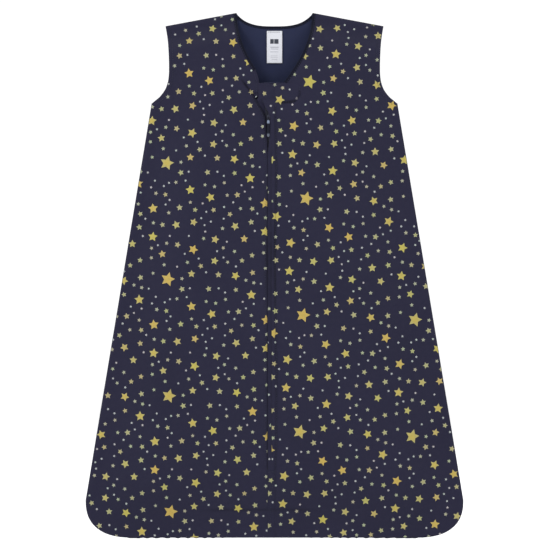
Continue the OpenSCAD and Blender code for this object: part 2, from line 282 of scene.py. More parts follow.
MAT_FRONT = jersey("front_knit", srgb(25, 25, 41), srgb(38, 37, 56), crease_shade=True)
MAT_INSIDE = jersey("inside_knit", srgb(26, 30, 52), srgb(39, 44, 68), sheen=0.1)
MAT_BACK = jersey("back_knit", srgb(25, 25, 41), srgb(38, 37, 56))
MAT_BIND = woven("binding_rib", srgb(8, 10, 22), srgb(17, 19, 34), pitch=0.0009, sheen=0.04, spec=0.06)
MAT_THREAD = thread("navy_thread", srgb(22, 24, 40), srgb(44, 46, 66))
MAT_TAPE = woven("zip_tape_weave", srgb(12, 13, 27), srgb(22, 24, 40), pitch=0.0008)
MAT_COIL = plastic("zip_coil_nylon", srgb(24, 26, 44), srgb(40, 42, 62), rough=(0.3, 0.42))
MAT_STOP = plastic("zip_stop_metal", srgb(70, 72, 84), srgb(100, 102, 112), rough=(0.3, 0.45), metallic=0.8)
MAT_SLIDER = plastic("slider_enamel", srgb(22, 25, 40), srgb(36, 39, 56), rough=(0.34, 0.46), metallic=0.1, spec=0.3)
MAT_PULL = plastic("pull_enamel", srgb(11, 13, 25), srgb(19, 21, 35), rough=(0.4, 0.52), metallic=0.0, spec=0.14)
MAT_SATIN = woven("label_satin", srgb(183, 185, 194), srgb(203, 204, 210), pitch=0.00045, rough=(0.35, 0.5), bump=0.2, sheen=0.1, spec=0.4)
MAT_INK = woven("label_ink", srgb(40, 44, 52), srgb(62, 66, 76), pitch=0.00045, spec=0.2)
MAT_INK2 = woven("label_ink_pale", srgb(140, 142, 152), srgb(160, 162, 170), pitch=0.00045, spec=0.2)
MAT_GOLD = foil("star_gold", srgb(167, 149, 66), srgb(152, 147, 96))
MAT_AMBER = foil("star_soft_gold", srgb(159, 147, 80), srgb(149, 146, 106))
MAT_PALE = foil("star_pale", srgb(147, 143, 94), srgb(141, 143, 122))
MAT_GREY = foil("star_small", srgb(142, 145, 118), srgb(137, 141, 131))
MAT_DOT = foil("star_dot", srgb(152, 155, 152), srgb(148, 152, 158))
STAR_MATS = [MAT_GOLD, MAT_AMBER, MAT_PALE, MAT_GREY, MAT_DOT]


# painted highlight: the pull's bottom end and a band at its top are painted pale blue-grey as glints, patchy by noise
nt = MAT_PULL.node_tree
b = [n for n in nt.nodes if n.type == "BSDF_PRINCIPLED"][0]
link_in = b.inputs["Base Color"].links[0]
under = link_in.from_socket
tc = nt.nodes.new("ShaderNodeTexCoord")
sp = nt.nodes.new("ShaderNodeSeparateXYZ")
nt.links.new(tc.outputs["Object"], sp.inputs[0])
low = map_range(nt, sp.outputs[2], -0.1515, -0.1535, 0.0, 1.0)
top = map_range(nt, math_node(nt, "ABSOLUTE", math_node(nt, "ADD", sp.outputs[2], 0.1372)), 0.0026, 0.0014, 0.0, 1.0)
pale_tone_and_glint = math_node(nt, "MAXIMUM", low, top)
pale_tone_and_glint = math_node(nt, "MULTIPLY", pale_tone_and_glint, map_range(nt, noise(nt, tc.outputs["Object"], 900.0), 0.3, 0.55, 0.55, 1.0))
glint_colour = mix_colour(nt, low, srgb(116, 127, 148), srgb(84, 89, 101))
nt.links.new(mix_colour(nt, pale_tone_and_glint, under, glint_colour), b.inputs["Base Color"])


# ---------------------------------------------------------------- the garment's own shape, in mm
def ramp(t):
    c = np.clip(t, 0.0, 1.0)
    return c * c * (3 - 2 * c)


def shoulder_z(ax):
    return -16.5 * np.maximum(0.0, ax - 48.0) / 88.0


def neck_x(z):
    return 48.0 * (1 - (np.clip(-z, 0, 102) / 102.0) ** 2)


def back_neck_z(ax):
    return -17.0 * (1 - np.clip(ax / 48.0, 0, 1) ** 3) ** 0.8


def arm_x(z):
    z = np.asarray(z, float)
    up = 131 + 5 * (np.clip(z + 62.15, 0, None) / 45.65) ** 2
    low = 131 + 22.5 * (np.clip(-62.15 - z, 0, 50.85) / 50.85) ** 3.5
    return np.where(z > -62.15, up, low)


def side_x(z):
    z = np.asarray(z, float)
    straight = 153.5 + (-113 - z) * 82.5 / 496.0
    t = np.clip((-609 - z) / 47.0, 0, 1)
    corner = 236 - 60 * (1 - (1 - t ** 2.5) ** 0.4)
    return np.where(z > -609, straight, corner)


def body_dist(x, z):
    """Distance in from the side seam, the rounded corner and the hem."""
    ax = np.abs(x)
    side = (side_x(np.maximum(z, -609.0)) - ax) * 0.986
    hem = z + 656.0
    a = np.clip((ax - 176.0) / 60.0, 0, None)
    t = np.clip((-609.0 - z) / 47.0, 0, None)
    p = a ** 2.5 + t ** 2.5 + 1e-12
    rho = p ** 0.4
    corner = (1 - rho) * (47 + 13 * (a ** 2.5) / p)
    plain = np.minimum(side, hem)
    return np.where((ax > 176) & (z < -609), corner, plain)


def under_arm(x, z):
    ax = np.abs(x)
    near = np.hypot(ax - 153.5, z + 113.0)
    return np.where(z > -113, near, body_dist(x, z))


def shoulder_dist(x, z):
    return (shoulder_z(np.abs(x)) - z) * 0.983


def arm_dist(x, z):
    return np.where(z > -113, (arm_x(z) - np.abs(x)), 1e3)


def neck_dist(x, z):
    ax = np.abs(x)
    slope = 48.0 * 2 * np.clip(-z, 0, 102) / 102.0 ** 2
    return np.where(z > -101, (ax - neck_x(z)) / np.sqrt(1 + slope ** 2), 1e3)


def left_inner(z):
    pts = [(0, None), (-72, 24.1), (-80, 20.9), (-86, 19.5), (-96, 19.1), (-104, 19.3), (-106, 21.6), (-108, 24.2), (-113, 21.2), (-118, 18.0), (-121.5, 15.8), (-126, 13.1), (-129.2, 11.4), (-134, 10.5), (-138, 10.2), (-150, 9.6), (-172, 8.4), (-550, 8.4), (-569, 8.6), (-600, 8.6), (-656, 8.6)]
    zs = np.array([p[0] for p in pts[1:]], float)
    xs = np.array([p[1] for p in pts[1:]], float)
    low = np.interp(-np.asarray(z, float), -zs, xs)
    return np.where(np.asarray(z) > -72, neck_x(z), low)


def right_inner(z):
    """X of the right front's free edge: down the neckline, across the flat top over the zip, then the lap that covers the zip."""
    z = np.asarray(z, float)
    low = np.interp(-z, [88.4, 92, 105, 109, 114, 128, 132, 157, 178, 560, 600], [-16.0, -16.5, -16.5, -16.0, -13.4, -6.6, -5.9, -5.9, -8.8, -8.8, -8.6])
    return np.where(z > -88.2, neck_x(z), low)


FOLD_TOP = 40.618


def waves(x, z, terms):
    out = np.zeros(np.broadcast(x, z).shape)
    for kx, kz, ph, a in terms:
        out = out + a * np.sin(x * kx + z * kz + ph)
    return out


BIG = [(0.031, 0.009, 0.4, 0.68), (0.052, -0.014, 2.1, 0.42), (-0.022, 0.027, 4.2, 0.5), (0.071, 0.021, 5.5, 0.28), (0.013, 0.047, 1.2, 0.34), (0.094, -0.033, 3.3, 0.2)]
SMALL = [(0.21, 0.07, 0.7, 0.05), (-0.17, 0.19, 2.2, 0.045), (0.11, 0.28, 4.0, 0.04), (0.31, -0.12, 1.1, 0.03), (0.06, -0.36, 5.1, 0.03)]


def lap_bulge(x, z):
    """The right front lies over the zip as a soft lap."""
    on = ramp((3.4 - x) / 5.0) * np.where(x > -18.0, 1.0, 0.0)
    return (2.7 - 0.75 * ramp((-162 - z) / 16.0)) * on * ramp((-112 - z) / 10.0) * ramp((z + 604) / 45.0)


WELT_X = -3.9


def bite_x(z):
    """X of the stitched line beside the lap."""
    return np.interp(-np.asarray(z, float), [112, 150, 196, 240, 300, 346, 396, 446, 540, 569, 650], [0.9, 1.4, 2.6, 1.6, 0.1, 0.6, 1.2, 2.8, 2.2, 0.9, 0.9])


def crease_painted_shade(x, z):
    """0..1 painted shade, darker where the cloth is pinched into a stitched line, a fold or the side of the zip
    opening.
    """
    x, z = np.broadcast_arrays(np.asarray(x, float), np.asarray(z, float))
    # stitched line beside the lap
    k = np.interp(-z, [112, 150, 185, 205, 250, 272, 300, 318, 350, 372, 440, 520, 569, 650], [0.2, 0.25, 0.45, 0.5, 0.3, 0.7, 0.85, 0.75, 0.65, 0.3, 0.35, 0.3, 0.2, 0.15])
    out = k * np.exp(-((x - bite_x(z)) / 1.25) ** 2) * ramp((-114 - z) / 8.0)
    # beside the slit on the left front
    e = -x - left_inner(z)
    k = np.interp(-z, [92, 100, 112, 128, 140, 165, 280, 300, 330, 370, 500, 540, 569], [0.0, 0.3, 0.55, 0.75, 0.5, 0.12, 0.2, 0.55, 0.5, 0.12, 0.15, 0.3, 0.0])
    out = np.maximum(out, np.where((x < 0) & (e > -0.3), k * np.exp(-(np.clip(e, 0, 99) / 3.4) ** 2), 0))
    # the welt's own edge, between the strip over the zip and the right front
    k = np.interp(-z, [150, 175, 250, 285, 300, 312, 330, 372, 440, 540, 569], [0.0, 0.25, 0.3, 0.45, 0.9, 0.6, 0.5, 0.3, 0.35, 0.25, 0.0])
    out = np.maximum(out, k * np.exp(-((x - WELT_X) / 0.95) ** 2))
    # the strip itself lies in the shade of the right front
    k = np.interp(-z, [165, 190, 260, 300, 350, 380, 500, 560], [0.0, 0.08, 0.1, 0.3, 0.26, 0.1, 0.1, 0.0])
    out = np.maximum(out, k * ramp((WELT_X - x) / 0.6) * ramp((x + 9.4) / 0.6))
    # the fold across the left front's top corner
    line = fold_line(z)
    out = np.maximum(out, np.where((x < -19) & (z > -109) & (z < -84), 0.75 * np.exp(-((x - line - 0.6) / 1.5) ** 2) * ramp((-84 - z) / 8.0), 0))
    out = np.maximum(out, np.where((x < -19) & (z > -112) & (z < -99), 0.55 * np.exp(-((z + 101.5) / 1.4) ** 2) * ramp((x + 30) / 2.0), 0))
    # the guard's stitching on the right front
    gz = guard_line(x)
    out = np.maximum(out, 0.95 * np.exp(-((z - gz) / 1.5) ** 2) * ramp((x - 2.5) / 4.0) * ramp((30.6 - x) / 1.5))
    out = np.maximum(out, 0.4 * np.exp(-((x - 31.2) / 1.3) ** 2) * ramp((z + 109) / 4.0) * ramp((-93 - z) / 8.0))
    # the right front's own edge at the top left
    out = np.maximum(out, np.where((x < 0) & (z > -113), 0.45 * np.exp(-((x + 16.4) / 1.3) ** 2) * ramp((-90 - z) / 5.0), 0))
    # cross crease above the hem
    span = ramp((x + 96) / 30.0) * ramp((60 - x) / 30.0)
    out = np.maximum(out, 0.3 * np.exp(-((z + 620.5) / 1.6) ** 2) * span)
    return out


def fold_line(z):
    return np.interp(-np.asarray(z, float), [80, 84, 100.5, 107.6], [-45.4, -42.4, -29.4, -24.8])


def guard_line(x):
    return np.interp(x, [3.0, 20.0, 25.5, 28.6, 30.4, 31.4], [-113.2, -112.4, -111.2, -107.8, -103.0, -97.0])


def front_relief(x, z):
    d = np.minimum(body_dist(x, z), shoulder_dist(x, z))
    d = np.minimum(d, arm_dist(x, z) + 8)
    soft = ramp(d / 34.0)
    quiet = 1 - 0.85 * np.exp(-(((x - 5) / 42.0) ** 2 + ((z + 102) / 34.0) ** 2))
    zipq = 1 - 0.55 * np.exp(-((x + 5) / 14.0) ** 2)
    r = waves(x, z, BIG) * soft * quiet * zipq
    r = r + waves(x, z, SMALL) * ramp(d / 12.0)
    # long soft pleats falling from the underarms
    for side, ph in ((-1, 0.3), (1, 1.7)):
        ux = (x * side - 150) * 0.83 + (z + 113) * -0.1
        uz = -(z + 113)
        fan = np.exp(-((uz - 60) / 90.0) ** 2) * np.exp(-((ux + 45) / 40.0) ** 2)
        r = r + 0.55 * np.sin((ux * 0.19 + uz * 0.055) + ph) * fan * soft
    # the fabric ripples where it is sewn to the zip
    env = ramp((-150 - z) / 30.0) * ramp((z + 640) / 60.0)
    r = r + 0.42 * np.sin(z * 2 * math.pi / 45.0 + 0.6 * np.sin(z * 0.03)) * np.exp(-((x + 5) / 20.0) ** 2) * env
    r = r + 0.14 * np.sin(z * 2 * math.pi / 13.0 + 0.5) * np.exp(-((x + 5) / 9.0) ** 2) * env
    # the hem lies a little deeper below a cross crease
    span = ramp((x + 118) / 50.0) * ramp((88 - x) / 50.0)
    r = r + 1.0 * ramp((-617 - z) / 7.0) * span * ramp((z + 655) / 22.0)
    r = r - 0.45 * np.exp(-((z + 613) / 7.0) ** 2) * span
    # the stitched line beside the lap bites in, more in some stretches than others
    bite = 0.62 + 0.38 * np.sin(z * 0.023 + 1.9) * np.sin(z * 0.061)
    r = r + 0.8 * bite * np.exp(-((x - bite_x(z)) / 1.0) ** 2) * ramp((-114 - z) / 8.0) * ramp((z + 650) / 20.0)
    # the strip over the zip lies a little lower than the right front's edge
    r = r + (0.32 * ramp((WELT_X + 0.3 - x) / 0.9) * np.where(x > -9.2, 1.0, 0.0) + 0.45 * np.exp(-((x - WELT_X) / 0.7) ** 2)) * ramp((-160 - z) / 20.0) * ramp((z + 569) / 20.0)
    # the left front's top corner is folded under along a slanting line
    line = fold_line(z)
    into = ramp((-81 - z) / 7.0) * np.where(z > -108.5, 1.0, 0.0)
    r = r + (1.7 * ramp((x - line) / 1.2) + 1.3 * np.exp(-((x - line - 0.7) / 0.9) ** 2)) * into * np.where(x < 0, 1.0, 0.0)
    # the stitching that holds the guard draws the right front in
    gz = guard_line(x)
    on = ramp((x - 2.0) / 3.0) * ramp((31.9 - x) / 0.8)
    r = r + 1.1 * np.exp(-((z - gz) / 1.2) ** 2) * on
    r = r + 0.9 * np.exp(-((x - 31.2) / 1.0) ** 2) * ramp((z + 108) / 5.0) * ramp((-91 - z) / 3.0)
    # shallow gathers along the side seams, the hem and the shoulders
    bd = body_dist(x, z)
    r = r + 0.22 * np.sin(z * 2 * math.pi / 11.0 + 0.9 * np.sin(z * 0.11)) * np.exp(-bd / 7.0) * np.where(bd < z + 656 - 2, 1.0, 0.0) * ramp((-118 - z) / 20)
    r = r + 0.2 * np.sin(x * 2 * math.pi / 12.0 + 1.1 * np.sin(x * 0.07)) * np.exp(-(z + 656) / 7.0)
    r = r + 0.18 * np.sin(z * 2 * math.pi / 9.5 + 0.8) * np.exp(-np.clip(arm_dist(x, z), 0, 99) / 6.0) * ramp((-26 - z) / 10)
    return r


def front_base(x, z):
    ax = np.abs(x)
    sd = np.where(z > -113, np.hypot(ax - 153.5, z + 113.0), (side_x(z) - ax) * 0.986)
    return 7.55 - 19.55 * ramp((sd - 8) / 70.0) * ramp((z + 656 - 8) / 76.0) * ramp((shoulder_z(ax) - z - 8) / 31.0)


def front_y(x, z, lap=False):
    y = front_base(x, z) + front_relief(x, z)
    d = np.minimum(body_dist(x, z), shoulder_dist(x, z))
    y = y + 1.25 * np.clip(1 - d / 5.0, 0, 1) ** 2
    seam = np.exp(-(((x + 8.6) / 1.3) ** 2)) * ramp((-560 - z) / 20.0) * ramp((z + 655) / 20)
    y = y + 0.9 * seam
    if lap:
        y = y - lap_bulge(x, z)
    return y


def back_y(x, z):
    d = np.minimum(body_dist(x, z), shoulder_dist(x, z))
    soft = ramp(d / 30.0)
    r = (waves(-x * 1.1 + 40, z * 0.9 + 31, BIG) * 0.33 - 0.55) * soft + waves(-x, z, SMALL) * 0.8
    r = r - 0.1
    y = 12.0 + np.minimum(r, 0.0)
    y = y - 1.3 * np.clip(1 - d / 5.0, 0, 1) ** 2
    bd = body_dist(x, z)
    y = y - (0.16 + 0.16 * np.sin(z * 2 * math.pi / 11.0 + 2.0)) * np.exp(-bd / 7.0)
    return y


# ---------------------------------------------------------------- mesh builders
def link(obj):
    SCENE.collection.objects.link(obj)
    return obj


def set_uv(mesh, name, per_vertex):
    layer = mesh.uv_layers.new(name=name)
    idx = np.empty(len(mesh.loops), dtype=np.int64)
    mesh.loops.foreach_get("vertex_index", idx)
    layer.data.foreach_set("uv", np.asarray(per_vertex, np.float32)[idx].reshape(-1))


def build(name, verts_mm, faces, mats, face_mat=None, uv=None, star=None, sharp_angle=None):
    mesh = bpy.data.meshes.new(name)
    mesh.from_pydata((np.asarray(verts_mm, float) * MM).tolist(), [], faces)
    mesh.validate(verbose=False)
    for m in mats:
        mesh.materials.append(m)
    if face_mat is not None and len(face_mat) == len(mesh.polygons):
        mesh.polygons.foreach_set("material_index", np.asarray(face_mat, np.int32))
    mesh.polygons.foreach_set("use_smooth", np.ones(len(mesh.polygons), bool))
    if uv is not None:
        set_uv(mesh, "rest", np.asarray(uv, float) * MM)
    if star is not None:
        set_uv(mesh, "star", star)
    if sharp_angle is not None:
        mesh.set_sharp_from_angle(angle=math.radians(sharp_angle))
    mesh.update()
    obj = link(bpy.data.objects.new(name, mesh))
    return obj


def recalc(obj):
    bm = bmesh.new()
    bm.from_mesh(obj.data)
    bmesh.ops.recalc_face_normals(bm, faces=bm.faces)
    bm.to_mesh(obj.data)
    bm.free()
    obj.data.update()


def grid_solid(name, X, Y, Z, thick, mats, out_dir, rim_mat=0, inner_mat=1, crisp_rows=(), bulge=0.45, shade=None):
    """A cloth grid with real thickness. X, Y, Z are rows x cols (mm) of the outer face; out_dir is the outward side."""
    R, C = X.shape
    P = np.stack([X, Y, Z], -1)
    du = np.gradient(P, axis=1)
    dv = np.gradient(P, axis=0)
    n = np.cross(du, dv)
    n /= np.linalg.norm(n, axis=-1, keepdims=True) + 1e-12
    if np.sum(n * np.asarray(out_dir)) < 0:
        n = -n
        flip = True
    else:
        flip = False
    T = np.broadcast_to(np.asarray(thick, float), (R, C))
    inner = P - n * T[..., None]
    outer = P.reshape(-1, 3)
    inn = inner.reshape(-1, 3)
    ring = [(0, j) for j in range(C)] + [(i, C - 1) for i in range(1, R)] + [(R - 1, j) for j in range(C - 2, -1, -1)] + [(i, 0) for i in range(R - 2, 0, -1)]
    mids = []
    for (i, j) in ring:
        d = np.zeros(3)
        if i == 0:
            d += P[0, j] - P[1, j]
        if i == R - 1:
            d += P[R - 1, j] - P[R - 2, j]
        if j == 0:
            d += P[i, 0] - P[i, 1]
        if j == C - 1:
            d += P[i, C - 1] - P[i, C - 2]
        d -= n[i, j] * np.dot(d, n[i, j])
        d /= np.linalg.norm(d) + 1e-12
        k = 0.0 if i in crisp_rows else bulge
        mids.append(P[i, j] - n[i, j] * T[i, j] * 0.5 + d * T[i, j] * k)
    verts = np.concatenate([outer, inn, np.array(mids)])
    N = R * C
    a = np.arange(N).reshape(R, C)
    q = np.stack([a[:-1, :-1], a[:-1, 1:], a[1:, 1:], a[1:, :-1]], -1).reshape(-1, 4)
    # cross(du, dv) points to one side; wind the outer faces to face out_dir
    if flip:
        qo, qi = q[:, ::-1], q + N
    else:
        qo, qi = q, q[:, ::-1] + N
    faces = qo.tolist() + qi.tolist()
    fm = [0] * len(qo) + [inner_mat] * len(qi)
    L = len(ring)
    for k in range(L):
        k2 = (k + 1) % L
        o1, o2 = a[ring[k]], a[ring[k2]]
        m1, m2 = 2 * N + k, 2 * N + k2
        f1 = [o1, o2, m2, m1]
        f2 = [m1, m2, o2 + N, o1 + N]
        if not flip:
            f1, f2 = f1[::-1], f2[::-1]
        faces.append([int(v) for v in f1])
        faces.append([int(v) for v in f2])
        fm += [rim_mat, rim_mat]
    uv = np.concatenate([outer[:, [0, 2]], inn[:, [0, 2]], np.array(mids)[:, [0, 2]] + 0.3])
    obj = build(name, verts, faces, mats, fm, uv)
    mesh = obj.data
    # crisp edges where this cloth meets its own continuation
    if crisp_rows:
        rows = set()
        for r in crisp_rows:
            rows |= set(int(v) for v in a[r]) | set(int(v) + N for v in a[r])
        at = mesh.attributes.get("sharp_edge") or mesh.attributes.new("sharp_edge", "BOOLEAN", "EDGE")
        ev = np.empty(len(mesh.edges) * 2, dtype=np.int64)
        mesh.edges.foreach_get("vertices", ev)
        ev = ev.reshape(-1, 2)
        rr = np.array(sorted(rows))
        s = np.isin(ev[:, 0], rr) & np.isin(ev[:, 1], rr)
        at.data.foreach_set("value", s)
        mesh.update()
    obj["outer_faces"] = len(qo)
    if shade is not None:
        # painted shade per vertex for the crease darkening, kept in the 'shade' UV layer
        every = np.concatenate([outer, inn, np.array(mids)])
        dark = shade(every[:, 0], every[:, 2])
        set_uv(mesh, "shade", np.stack([dark, np.zeros_like(dark)], -1))
        mesh.uv_layers.active_index = 0
    return obj


def outer_bvh(objs):
    verts, polys = [], []
    for o in objs:
        base = len(verts)
        verts += [v.co.copy() for v in o.data.vertices]
        k = int(o["outer_faces"])
        for p in o.data.polygons[:k]:
            polys.append([base + v for v in p.vertices])
    return BVHTree.FromPolygons(verts, polys)


def cast(bvh, x, z, side=-1):
    """Point (mm) and normal of the cloth seen from the front (-1) or back (+1)."""
    hit = bvh.ray_cast(Vector((x * MM, side * 0.08, z * MM)), Vector((0, -side, 0)))
    if hit[0] is None:
        return None, None
    nrm = hit[1]
    if nrm.y * side < 0:
        nrm = -nrm
    return np.array(hit[0]) / MM, np.array(nrm)


def spaced(n, tight, power=2.2):
    """0..1 samples, closer together at both ends."""
    t = np.linspace(0, 1, n)
    e = 0.5 - 0.5 * np.cos(np.pi * t)
    return (1 - tight) * t + tight * e


def front_rows():
    zi = list(np.linspace(0, -76, 32)) + list(np.arange(-77.3, -87.9, -1.3)) + [-88.1, -88.5] + list(np.arange(-89.7, -112.6, -1.15)) + [-113.0]
    zo = [-16.5 - 96.5 * (-z / 113.0) for z in zi]
    low = list(np.arange(-114.3, -140.0, -1.4)) + list(np.arange(-141.6, -569.01, -2.75))
    low[-1] = -569.0
    return zi + low, zo + low


def flush_lift(x, z):
    """The left front lies almost flush with the lap, except where the opening gapes a little."""
    k = np.interp(-z, [150, 182, 250, 285, 318, 345, 572, 598], [0.0, 1.35, 1.25, 0.3, 0.3, 1.25, 1.25, 0.0])
    return k * np.exp(-(np.clip(-x - 8.4, 0, 99) / 7.0) ** 2) * np.where(x < -8.61, 1.0, 0.0)


def build_front(side):
    ZI, ZO = front_rows()
    ZI, ZO = np.array(ZI), np.array(ZO)
    cols = spaced(104, 0.45)
    if side < 0:
        xi = -left_inner(ZI)
    else:
        xi = right_inner(ZI)
    xo = side * np.where(ZO > -113, arm_x(ZO), side_x(ZO))
    X = xi[:, None] * (1 - cols) + xo[:, None] * cols
    Z = ZI[:, None] * (1 - cols) + ZO[:, None] * cols
    top = X[0]
    Z[0] = shoulder_z(np.abs(top))
    Y = front_y(X, Z, lap=(side > 0))
    # the free edge at the zip turns under
    e = np.abs(X - xi[:, None])
    turn = np.clip(1 - e / 1.6, 0, 1) ** 2 * ramp((-70 - Z) / 6.0)
    Y = Y + (0.7 + (0.45 * ramp((-165 - Z) / 12.0) if side > 0 else 0.0)) * turn
    if side < 0:
        Y = Y - flush_lift(X, Z) - 0.35 * turn * ramp((-165 - Z) / 12.0)
    d = np.minimum(body_dist(X, Z), shoulder_dist(X, Z))
    thick = 1.1 - 0.25 * np.clip(1 - d / 4.0, 0, 1)
    name = "front_left" if side < 0 else "front_right"
    R = len(ZI)
    return grid_solid(name, X, Y, Z, thick, [MAT_FRONT, MAT_INSIDE], (0, -1, 0), crisp_rows=(R - 1,), shade=crease_painted_shade)


def build_lower():
    """The front below the end of the zip, both halves sewn together along the centre seam."""
    t = np.linspace(0, 1, 22)
    z1 = np.linspace(-569, -609, 15)
    ang = np.linspace(0, math.pi / 2, 26)[1:]
    z2 = -609 - 47 * np.sin(ang)
    zz = np.concatenate([z1, z2])
    left = -np.array([side_x(z) for z in zz])
    right = -left
    cl = spaced(82, 0.45)
    L = left[:, None] * (1 - cl) + (-8.6) * cl
    Rr = (-8.6) * (1 - cl) + right[:, None] * cl
    X = np.concatenate([L, Rr[:, 1:]], axis=1)
    Z = np.repeat(zz[:, None], X.shape[1], axis=1)
    Y = front_y(X, Z, lap=False)
    lap = lap_bulge(X, Z) * np.where(X > -8.61, 1, 0) * ramp((X + 9.4) / 1.8)
    Y = Y - lap - flush_lift(X, Z)
    d = body_dist(X, Z)
    thick = 1.1 - 0.25 * np.clip(1 - d / 4.0, 0, 1)
    return grid_solid("front_lower", X, Y, Z, thick, [MAT_FRONT, MAT_INSIDE], (0, -1, 0), crisp_rows=(0,), shade=crease_painted_shade)


def build_back():
    s1 = np.linspace(-136, -48, 34)
    s2 = np.linspace(-48, 48, 37)
    s3 = np.linspace(48, 136, 34)
    top = np.concatenate([s1, s2[1:], s3[1:]])
    s = top / 136.0
    T = np.linspace(0, 1, 42)
    X, Z = [], []
    for t in T:
        zo = -16.5 - 96.5 * t
        zt = np.where(np.abs(top) > 48, shoulder_z(np.abs(top)), back_neck_z(np.abs(top)))
        X.append(s * float(arm_x(zo)))
        Z.append(zt * (1 - t) - 113 * t)
    low = list(np.arange(-115.9, -609.0, -2.95))
    ang = np.linspace(0, math.pi / 2, 24)
    low += list(-609 - 47 * np.sin(ang))
    for z in low:
        X.append(s * float(side_x(z)))
        Z.append(np.full_like(s, z))
    X, Z = np.array(X), np.array(Z)
    Y = back_y(X, Z)
    d = np.minimum(body_dist(X, Z), shoulder_dist(X, Z))
    thick = 1.1 - 0.2 * np.clip(1 - d / 4.0, 0, 1)
    return grid_solid("back", X, Y, Z, thick, [MAT_BACK, MAT_INSIDE], (0, 1, 0))


front_left = build_front(-1)
front_right = build_front(1)
front_lower = build_lower()
back = build_back()

# ---------------------------------------------------------------- zip guard patch over the top of the zip
GUARD_TOP = -88.4


def build_guard():
    """The guard lies behind the top of the zip, with its round end stitched to the right front."""
    zz = np.concatenate([np.linspace(-89.2, -104, 10), np.linspace(-105, -113.0, 12)])
    cols = spaced(36, 0.35)
    xl = np.interp(-zz, [89, 105, 110, 113], [-19.3, -19.4, -21.5, -21.0])
    xr = np.interp(-zz, [89, 101, 106, 109, 111, 113], [31.0, 31.0, 30.0, 28.2, 25.0, 20.0])
    X = xl[:, None] * (1 - cols) + xr[:, None] * cols
    Z = np.repeat(zz[:, None], 36, axis=1)
    Y = front_base(X, Z) + front_relief(np.abs(X) + 1.0, Z) + 1.75
    return grid_solid("guard_layer", X, Y, Z, 0.95, [MAT_FRONT, MAT_INSIDE], (0, -1, 0), bulge=0.5)


def build_garage():
    zz = np.linspace(-109, -126.5, 14)
    cols = np.linspace(0, 1, 14)
    xl = -np.interp(-zz, [106, 109, 113, 117, 121.5, 126.5], [25.4, 25.6, 23.6, 20.6, 17.4, 14.8])
    X = xl[:, None] * (1 - cols) + (-1.0) * cols
    Z = np.repeat(zz[:, None], 14, axis=1)
    Y = -8.9 + 0.25 * np.sin(Z * 0.5) + 0 * X
    return grid_solid("zip_garage", X, Y, Z, 0.9, [MAT_FRONT, MAT_INSIDE], (0, -1, 0), bulge=0.5)


guard = build_guard()
garage = build_garage()

# ---------------------------------------------------------------- star print
# One repeat of the scattered print. Only sizes and counts are set; every place comes from a seeded scatter.
# Each class is outer radius in mm, how many to a repeat, and the clear gap to its neighbours in mm.
PRINT = ((8.8, 1, 0.0), (6.5, 3, 15.0), (6.0, 4, 14.0), (5.2, 8, 9.0), (4.1, 8, 7.0), (3.5, 10, 6.0), (2.75, 8, 5.5), (2.6, 17, 5.0), (1.75, 36, 3.4))


def filled_repeat():
    rng = random.Random(29)
    stars = []
    for radius, count, gap in PRINT:
        placed = 0
        tries = 0
        while placed < count and tries < 6000:
            tries += 1
            u, v = rng.random(), rng.random()
            ok = True
            for (a, b, r) in stars:
                du = abs(u - a)
                dv = abs(v - b)
                du, dv = min(du, 1 - du) * 140, min(dv, 1 - dv) * 145
                if math.hypot(du, dv) < r + radius + gap * (1 - tries / 9000):
                    ok = False
                    break
            if ok:
                stars.append((u, v, radius * rng.uniform(0.95, 1.05)))
                placed += 1
    return stars


REPEAT = filled_repeat()


def clip_polys(polys, gx, gz, c):
    """Keeps the part of each polygon where gx*x + gz*z >= c."""
    out = []
    for poly in polys:
        res = []
        n = len(poly)
        for i in range(n):
            p, q = poly[i], poly[(i + 1) % n]
            dp = gx * p[0] + gz * p[1] - c
            dq = gx * q[0] + gz * q[1] - c
            if dp >= 0:
                res.append(p)
            if (dp >= 0) != (dq >= 0):
                t = dp / (dp - dq)
                res.append((p[0] + t * (q[0] - p[0]), p[1] + t * (q[1] - p[1])))
        if len(res) >= 3:
            out.append(res)
    return out


def poly_area(poly):
    return abs(sum(p[0] * q[1] - q[0] * p[1] for p, q in zip(poly, poly[1:] + poly[:1]))) / 2


def star_polys(cx, cz, r, turn):
    rings = 3 if r > 5.5 or (-45 < cx < 9 and cz < -78) else (2 if r > 2.6 else 1)
    inner = 0.5
    pts = []
    for k in range(10):
        a = turn + math.pi / 2 + k * math.pi / 5
        rr = r if k % 2 == 0 else r * inner
        pts.append((math.cos(a) * rr, math.sin(a) * rr))
    polys = []
    for i in range(rings):
        f0, f1 = i / rings, (i + 1) / rings
        for k in range(10):
            k2 = (k + 1) % 10
            p1 = (cx + pts[k][0] * f1, cz + pts[k][1] * f1)
            p2 = (cx + pts[k2][0] * f1, cz + pts[k2][1] * f1)
            if i == 0:
                polys.append([(cx, cz), p1, p2])
            else:
                q1 = (cx + pts[k][0] * f0, cz + pts[k][1] * f0)
                q2 = (cx + pts[k2][0] * f0, cz + pts[k2][1] * f0)
                polys.append([q1, p1, p2, q2])
    return polys


